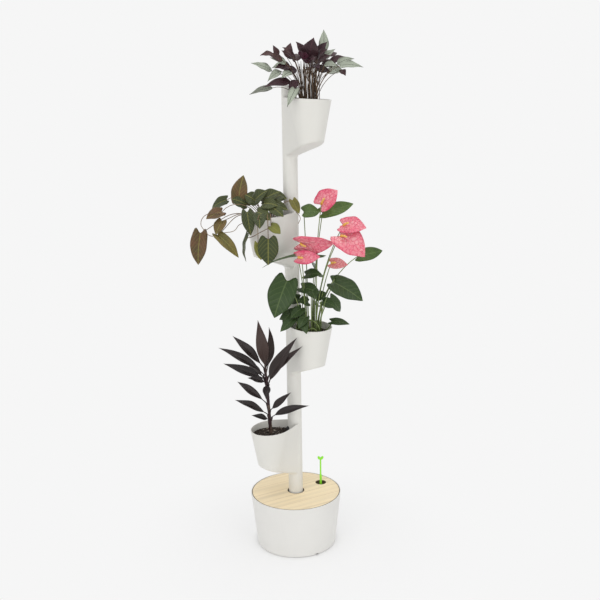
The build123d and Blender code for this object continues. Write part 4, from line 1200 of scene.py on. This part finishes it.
class PLANTER_OT_anthurium(bpy.types.Operator):
    """Grow the pink-flowered plant in the third pot"""

    bl_idname = "planter.anthurium"
    bl_label = "Pink-flowered plant"

    def execute(self, context):
        plant = Plant(3)
        leaf_rows = ANTHURIUM_LEAVES + ANTHURIUM_YOUNG_LEAVES
        runs = plant.stems(ANTHURIUM_FLOWERS + leaf_rows, sizes().stalk_radius)
        for root in ANTHURIUM_ROOTS:
            runs.append([(plant.world(point), None, ROOT_RADIUS) for point in root])
        stalk = green_stem("green_stalk", (0.09, 0.14, 0.035), (0.24, 0.30, 0.10))
        plant.show("stalks", stem_mesh(runs), [stalk], "green_stalk", ["anthurium_stalks"])
        green = colours().heart_leaf
        face = veined_leaf(
            "heart_leaf",
            green,
            [(0.0, scaled(green, 0.75)), (0.4, scaled(green, 1.15)), (1.0, (0.10, 0.17, 0.035))],
            (0.15, 0.21, 0.075),
            count=6.0,
            slope=0.34,
            strength=0.4,
            gloss=0.24,
        )
        under = veined_leaf(
            "heart_leaf_under",
            (0.075, 0.115, 0.045),
            None,
            (0.16, 0.21, 0.09),
            count=7.0,
            slope=0.34,
            strength=0.5,
            gloss=0.42,
        )
        leaves = plant.leaves(leaf_rows, smooth_heart, lobe=0.16, fold=0.16, wave=0.02)
        plant.show(
            "heart_leaves",
            leaves,
            [face, under],
            "heart_leaf",
            ["anthurium_leaves"],
            sizes().leaf_thickness,
        )
        hoods = plant.leaves(ANTHURIUM_FLOWERS, smooth_heart, lobe=0.2, fold=0.2, wave=0.025)
        plant.show(
            "flower_hoods",
            hoods,
            [flower_hood("pink_hood", colours().hood)],
            "pink_hood",
            ["anthurium_hoods"],
            sizes().leaf_thickness,
        )
        yellow = grainy_spike("yellow_spike", colours().spike)
        plant.show("flower_spikes", self.spikes(plant), [yellow], "yellow_spike", ["anthurium_spikes"])
        return {"FINISHED"}

    def spikes(self, plant):
        """Tapered round-ended spikes that stand at the foot of each hood."""
        mesh = bmesh.new()
        sheet = mesh.loops.layers.uv.new("blade")
        for row in ANTHURIUM_FLOWERS:
            base, along, across, facing, length = plant.blade_axes(row)
            lean = (along * SPIKE_LEAN[0] + facing * SPIKE_LEAN[1]).normalized()
            side = across.normalized()
            reach = min(sizes().spike_length, SPIKE_SHARE * length)
            axes = Matrix((side, lean.cross(side), lean)).transposed().to_4x4()
            place = Matrix.Translation(base + lean * SPIKE_LIFT) @ axes
            ball = bmesh.ops.create_uvsphere(mesh, u_segments=14, v_segments=18, radius=1.0)
            for vert in ball["verts"]:
                share = (vert.co.z + 1) / 2
                girth = sizes().spike_radius * (1 - SPIKE_TAPER * share) * (1 - (2 * share - 1) ** 8) ** 0.5
                ring = max(math.hypot(vert.co.x, vert.co.y), 1e-6)
                bow = SPIKE_BOW * reach * math.sin(math.pi * share)
                vert.co = place @ Vector(
                    (vert.co.x / ring * girth, vert.co.y / ring * girth + bow, reach * share)
                )
            for face in {face for vert in ball["verts"] for face in vert.link_faces}:
                face.smooth = True
                for loop in face.loops:
                    share = (loop.vert.co - base).dot(lean) / reach
                    loop[sheet].uv = (min(1.0, max(0.0, share)), 0.5)
        bmesh.ops.remove_doubles(mesh, verts=mesh.verts, dist=1e-5)
        bmesh.ops.recalc_face_normals(mesh, faces=mesh.faces)
        return mesh


class PLANTER_OT_philodendron(bpy.types.Operator):
    """Grow the trailing plant in the second pot"""

    bl_idname = "planter.philodendron"
    bl_label = "Trailing plant"

    def execute(self, context):
        plant = Plant(2)
        rows = PHILODENDRON_LEAVES + PHILODENDRON_YOUNG_LEAVES
        radius = sizes().vine_radius
        runs = plant.stems(rows, radius)
        for trail in PHILODENDRON_TRAILS:
            runs.append([(plant.world(point), None, TRAIL_THICKNESS * radius) for point in trail])
        vine = green_stem("vine", (0.11, 0.055, 0.035), (0.24, 0.17, 0.08))
        plant.show("vines", stem_mesh(runs), [vine], "vine", ["philodendron_vines"])
        bronze = colours().bronze_leaf
        face = veined_leaf(
            "bronze_leaf",
            (0.045, 0.055, 0.017),
            [
                (0.0, (0.020, 0.034, 0.012)),
                (0.3, (0.048, 0.062, 0.018)),
                (0.5, (0.21, 0.21, 0.036)),
                (0.7, (0.15, 0.095, 0.030)),
                (1.0, bronze),
            ],
            (0.28, 0.27, 0.065),
            count=6.0,
            slope=0.42,
            strength=0.6,
            gloss=0.36,
            velvet=0.25,
        )
        under = veined_leaf(
            "bronze_leaf_under",
            (0.15, 0.07, 0.045),
            None,
            (0.25, 0.14, 0.07),
            count=6.0,
            slope=0.42,
            strength=0.5,
            gloss=0.5,
        )
        leaves = plant.leaves(rows, smooth_heart, lobe=0.16, fold=0.2, wave=0.035)
        plant.show(
            "trailing_leaves",
            leaves,
            [face, under],
            "bronze_leaf",
            ["philodendron_leaves"],
            sizes().leaf_thickness,
        )
        return {"FINISHED"}


class PLANTER_OT_top_plant(bpy.types.Operator):
    """Grow the purple and silver plant in the top pot"""

    bl_idname = "planter.top_plant"
    bl_label = "Purple and silver plant"

    def execute(self, context):
        plant = Plant(1)
        purple_rows = TOP_PURPLE_LEAVES + TOP_PURPLE_YOUNG_LEAVES
        grey_rows = TOP_GREY_LEAVES + TOP_GREY_YOUNG_LEAVES
        radius = sizes().stem_radius
        runs = plant.stems(purple_rows + grey_rows, radius)
        for number in range(BARE_STEMS):
            turn = BARE_STEM_TURN * number
            out = BARE_STEM_MIDDLE + BARE_STEM_SPREAD * math.sin(turn) * (number % 5 + 1) / 5
            across = BARE_STEM_SPREAD * math.cos(turn) * (number % 4 + 1) / 4
            foot = plant.world((out, across, -FOOT_DEPTH))
            out += BARE_STEM_SWAY * math.sin(3 * turn)
            across += BARE_STEM_SWAY * math.cos(2 * turn)
            end = plant.world((out, across, BARE_STEM_HEIGHT + BARE_STEM_STEP * (number % 5)))
            runs.append(plant.arc(foot, end, radius))
        stem = green_stem("brown_stem", (0.040, 0.022, 0.013), (0.13, 0.075, 0.034))
        plant.show("thin_stems", stem_mesh(runs), [stem], "brown_stem", ["top_plant_stems"])
        dark = colours().purple_leaf
        under = veined_leaf(
            "purple_leaf_under",
            (0.060, 0.012, 0.026),
            None,
            (0.10, 0.03, 0.05),
            count=7.0,
            slope=0.5,
            strength=0.4,
            gloss=0.4,
        )
        purple = veined_leaf(
            "purple_leaf",
            dark,
            [(0.0, scaled(dark, 0.9)), (1.0, (0.070, 0.030, 0.024))],
            (0.085, 0.026, 0.040),
            count=7.0,
            slope=0.5,
            strength=0.6,
            gloss=0.3,
        )
        leaves = plant.leaves(purple_rows, smooth_egg, fold=0.22, wave=0.04, cells=(18, 8))
        plant.show(
            "purple_leaves",
            leaves,
            [purple, under],
            "purple_leaf",
            ["top_plant_purple_leaves"],
            sizes().leaf_thickness,
        )
        pale = colours().silver_leaf
        silver = veined_leaf(
            "silver_leaf",
            pale,
            [(0.0, scaled(pale, 1.1)), (0.6, scaled(pale, 0.85)), (1.0, (0.11, 0.10, 0.09))],
            (0.032, 0.030, 0.022),
            count=7.0,
            slope=0.5,
            strength=0.9,
            gloss=0.32,
            margin=0.75,
        )
        leaves = plant.leaves(grey_rows, smooth_egg, fold=0.22, wave=0.04, cells=(18, 8))
        plant.show(
            "silver_leaves",
            leaves,
            [silver, under],
            "silver_leaf",
            ["top_plant_grey_leaves"],
            sizes().leaf_thickness,
        )
        return {"FINISHED"}


class PLANTER_OT_stage(bpy.types.Operator):
    """Set the floor, the light and the camera"""

    bl_idname = "planter.stage"
    bl_label = "Floor, light and camera"

    def execute(self, context):
        scene = context.scene
        scene.view_settings.view_transform = "Standard"
        self.floor(scene)
        self.sky(scene)
        for name, settings in LAMPS.items():
            self.lamp(scene, name, *settings)
        self.camera(scene)
        return {"FINISHED"}

    def floor(self, scene):
        """Pale floor that keeps the shadow by the tank and fades into the backdrop."""
        mesh = bmesh.new()
        bmesh.ops.create_grid(mesh, x_segments=2, y_segments=2, size=FLOOR_REACH)
        made = bpy.data.meshes.new("floor")
        mesh.to_mesh(made)
        mesh.free()
        finish = Finish("pale_floor")
        finish.shade({"Base Color": (0.9, 0.9, 0.9), "Roughness": 0.8, "IOR": 1.2})
        lit = finish.node("ShaderNodeEmission", {}, {"Color": BACKDROP_GREY, "Strength": 1.0})
        distance = axis_distance(finish, finish.place(), (0, 0))
        near, far = [finish.step(distance, low, high, 0.0, share) for low, high, share in SHADOW_STEPS]
        seen = self.seen(finish) * (near + far)
        blend = finish.node(
            "ShaderNodeMixShader", {}, {0: seen, 1: Value(finish, finish.shader.outputs[0]), 2: lit}
        )
        finish.join(blend, finish.tree.nodes["Material Output"].inputs["Surface"])
        made.materials.append(finish.material)
        floor = bpy.data.objects.new("floor", made)
        scene.collection.objects.link(floor)

    def seen(self, nodes):
        """1 where the camera, a reflection or clear plastic shows the surface."""
        straight = nodes.node("ShaderNodeLightPath", {}, {}, "Is Camera Ray")
        mirrored = nodes.node("ShaderNodeLightPath", {}, {}, "Is Glossy Ray")
        through = nodes.node("ShaderNodeLightPath", {}, {}, "Is Transmission Ray")
        return straight.larger(mirrored).larger(through)

    def sky(self, scene):
        """Even light all round, and the paler backdrop where it is seen."""
        world = bpy.data.worlds.new("studio")
        world.use_nodes = True
        scene.world = world
        nodes = Nodes(world.node_tree)
        light = nodes.node("ShaderNodeBackground", {}, {"Color": BACKDROP_GREY, "Strength": SKY_LIGHT})
        backdrop = nodes.node("ShaderNodeBackground", {}, {"Color": BACKDROP_GREY, "Strength": 1.0})
        blend = nodes.node("ShaderNodeMixShader", {}, {0: self.seen(nodes), 1: light, 2: backdrop})
        nodes.join(blend, nodes.tree.nodes["World Output"].inputs["Surface"])

    def lamp(self, scene, name, place, target, size, power):
        """A round soft lamp that faces its target."""
        light = bpy.data.lights.new(name, "AREA")
        light.shape = "DISK"
        light.size = size
        light.energy = power
        holder = bpy.data.objects.new(name, light)
        holder.location = place
        holder.rotation_euler = (Vector(target) - Vector(place)).to_track_quat("-Z", "Y").to_euler()
        scene.collection.objects.link(holder)

    def camera(self, scene):
        """The camera that sees the planter as the picture does."""
        level = Vector((math.cos(CAMERA_YAW), -math.sin(CAMERA_YAW), 0))
        ahead = Vector((math.sin(CAMERA_YAW), math.cos(CAMERA_YAW), 0))
        upright = ahead * math.sin(CAMERA_PITCH) + UP * math.cos(CAMERA_PITCH)
        forward = ahead * math.cos(CAMERA_PITCH) - UP * math.sin(CAMERA_PITCH)
        right = level * math.cos(CAMERA_ROLL) + upright * math.sin(CAMERA_ROLL)
        above = upright * math.cos(CAMERA_ROLL) - level * math.sin(CAMERA_ROLL)
        lens = bpy.data.cameras.new("camera")
        lens.sensor_width = SENSOR_WIDTH
        lens.lens = SENSOR_WIDTH * FOCAL_PIXELS / PICTURE_PIXELS
        lens.clip_start = 0.05
        holder = bpy.data.objects.new("camera", lens)
        axes = Matrix((right, above, -forward)).transposed().to_4x4()
        holder.matrix_world = Matrix.Translation(CAMERA_PLACE) @ axes
        scene.collection.objects.link(holder)
        scene.camera = holder


class PLANTER_PT_panel(bpy.types.Panel):
    """The planter's sizes, colours and pieces"""

    bl_idname = "PLANTER_PT_panel"
    bl_label = "Vertical planter"
    bl_space_type = "VIEW_3D"
    bl_region_type = "UI"
    bl_category = "Planter"

    def draw(self, context):
        for group in (context.scene.planter_sizes, context.scene.planter_colours):
            for name in group.__annotations__:
                self.layout.prop(group, name)
        for operator in OPERATORS:
            self.layout.operator(operator.bl_idname)


OPERATORS = (
    PLANTER_OT_hard_parts,
    PLANTER_OT_lid,
    PLANTER_OT_indicator,
    PLANTER_OT_soil,
    PLANTER_OT_cordyline,
    PLANTER_OT_anthurium,
    PLANTER_OT_philodendron,
    PLANTER_OT_top_plant,
    PLANTER_OT_stage,
)
CLASSES = (PlanterSizes, PlanterColours, *OPERATORS, PLANTER_PT_panel)


def register():
    for made in CLASSES:
        bpy.utils.register_class(made)
    bpy.types.Scene.planter_sizes = PointerProperty(type=PlanterSizes)
    bpy.types.Scene.planter_colours = PointerProperty(type=PlanterColours)


def unregister():
    del bpy.types.Scene.planter_colours
    del bpy.types.Scene.planter_sizes
    for made in reversed(CLASSES):
        bpy.utils.unregister_class(made)


def main():
    register()
    bpy.ops.planter.hard_parts()
    bpy.ops.planter.lid()
    bpy.ops.planter.indicator()
    bpy.ops.planter.soil()
    bpy.ops.planter.cordyline()
    bpy.ops.planter.anthurium()
    bpy.ops.planter.philodendron()
    bpy.ops.planter.top_plant()
    bpy.ops.planter.stage()


if __name__ == "__main__":
    main()
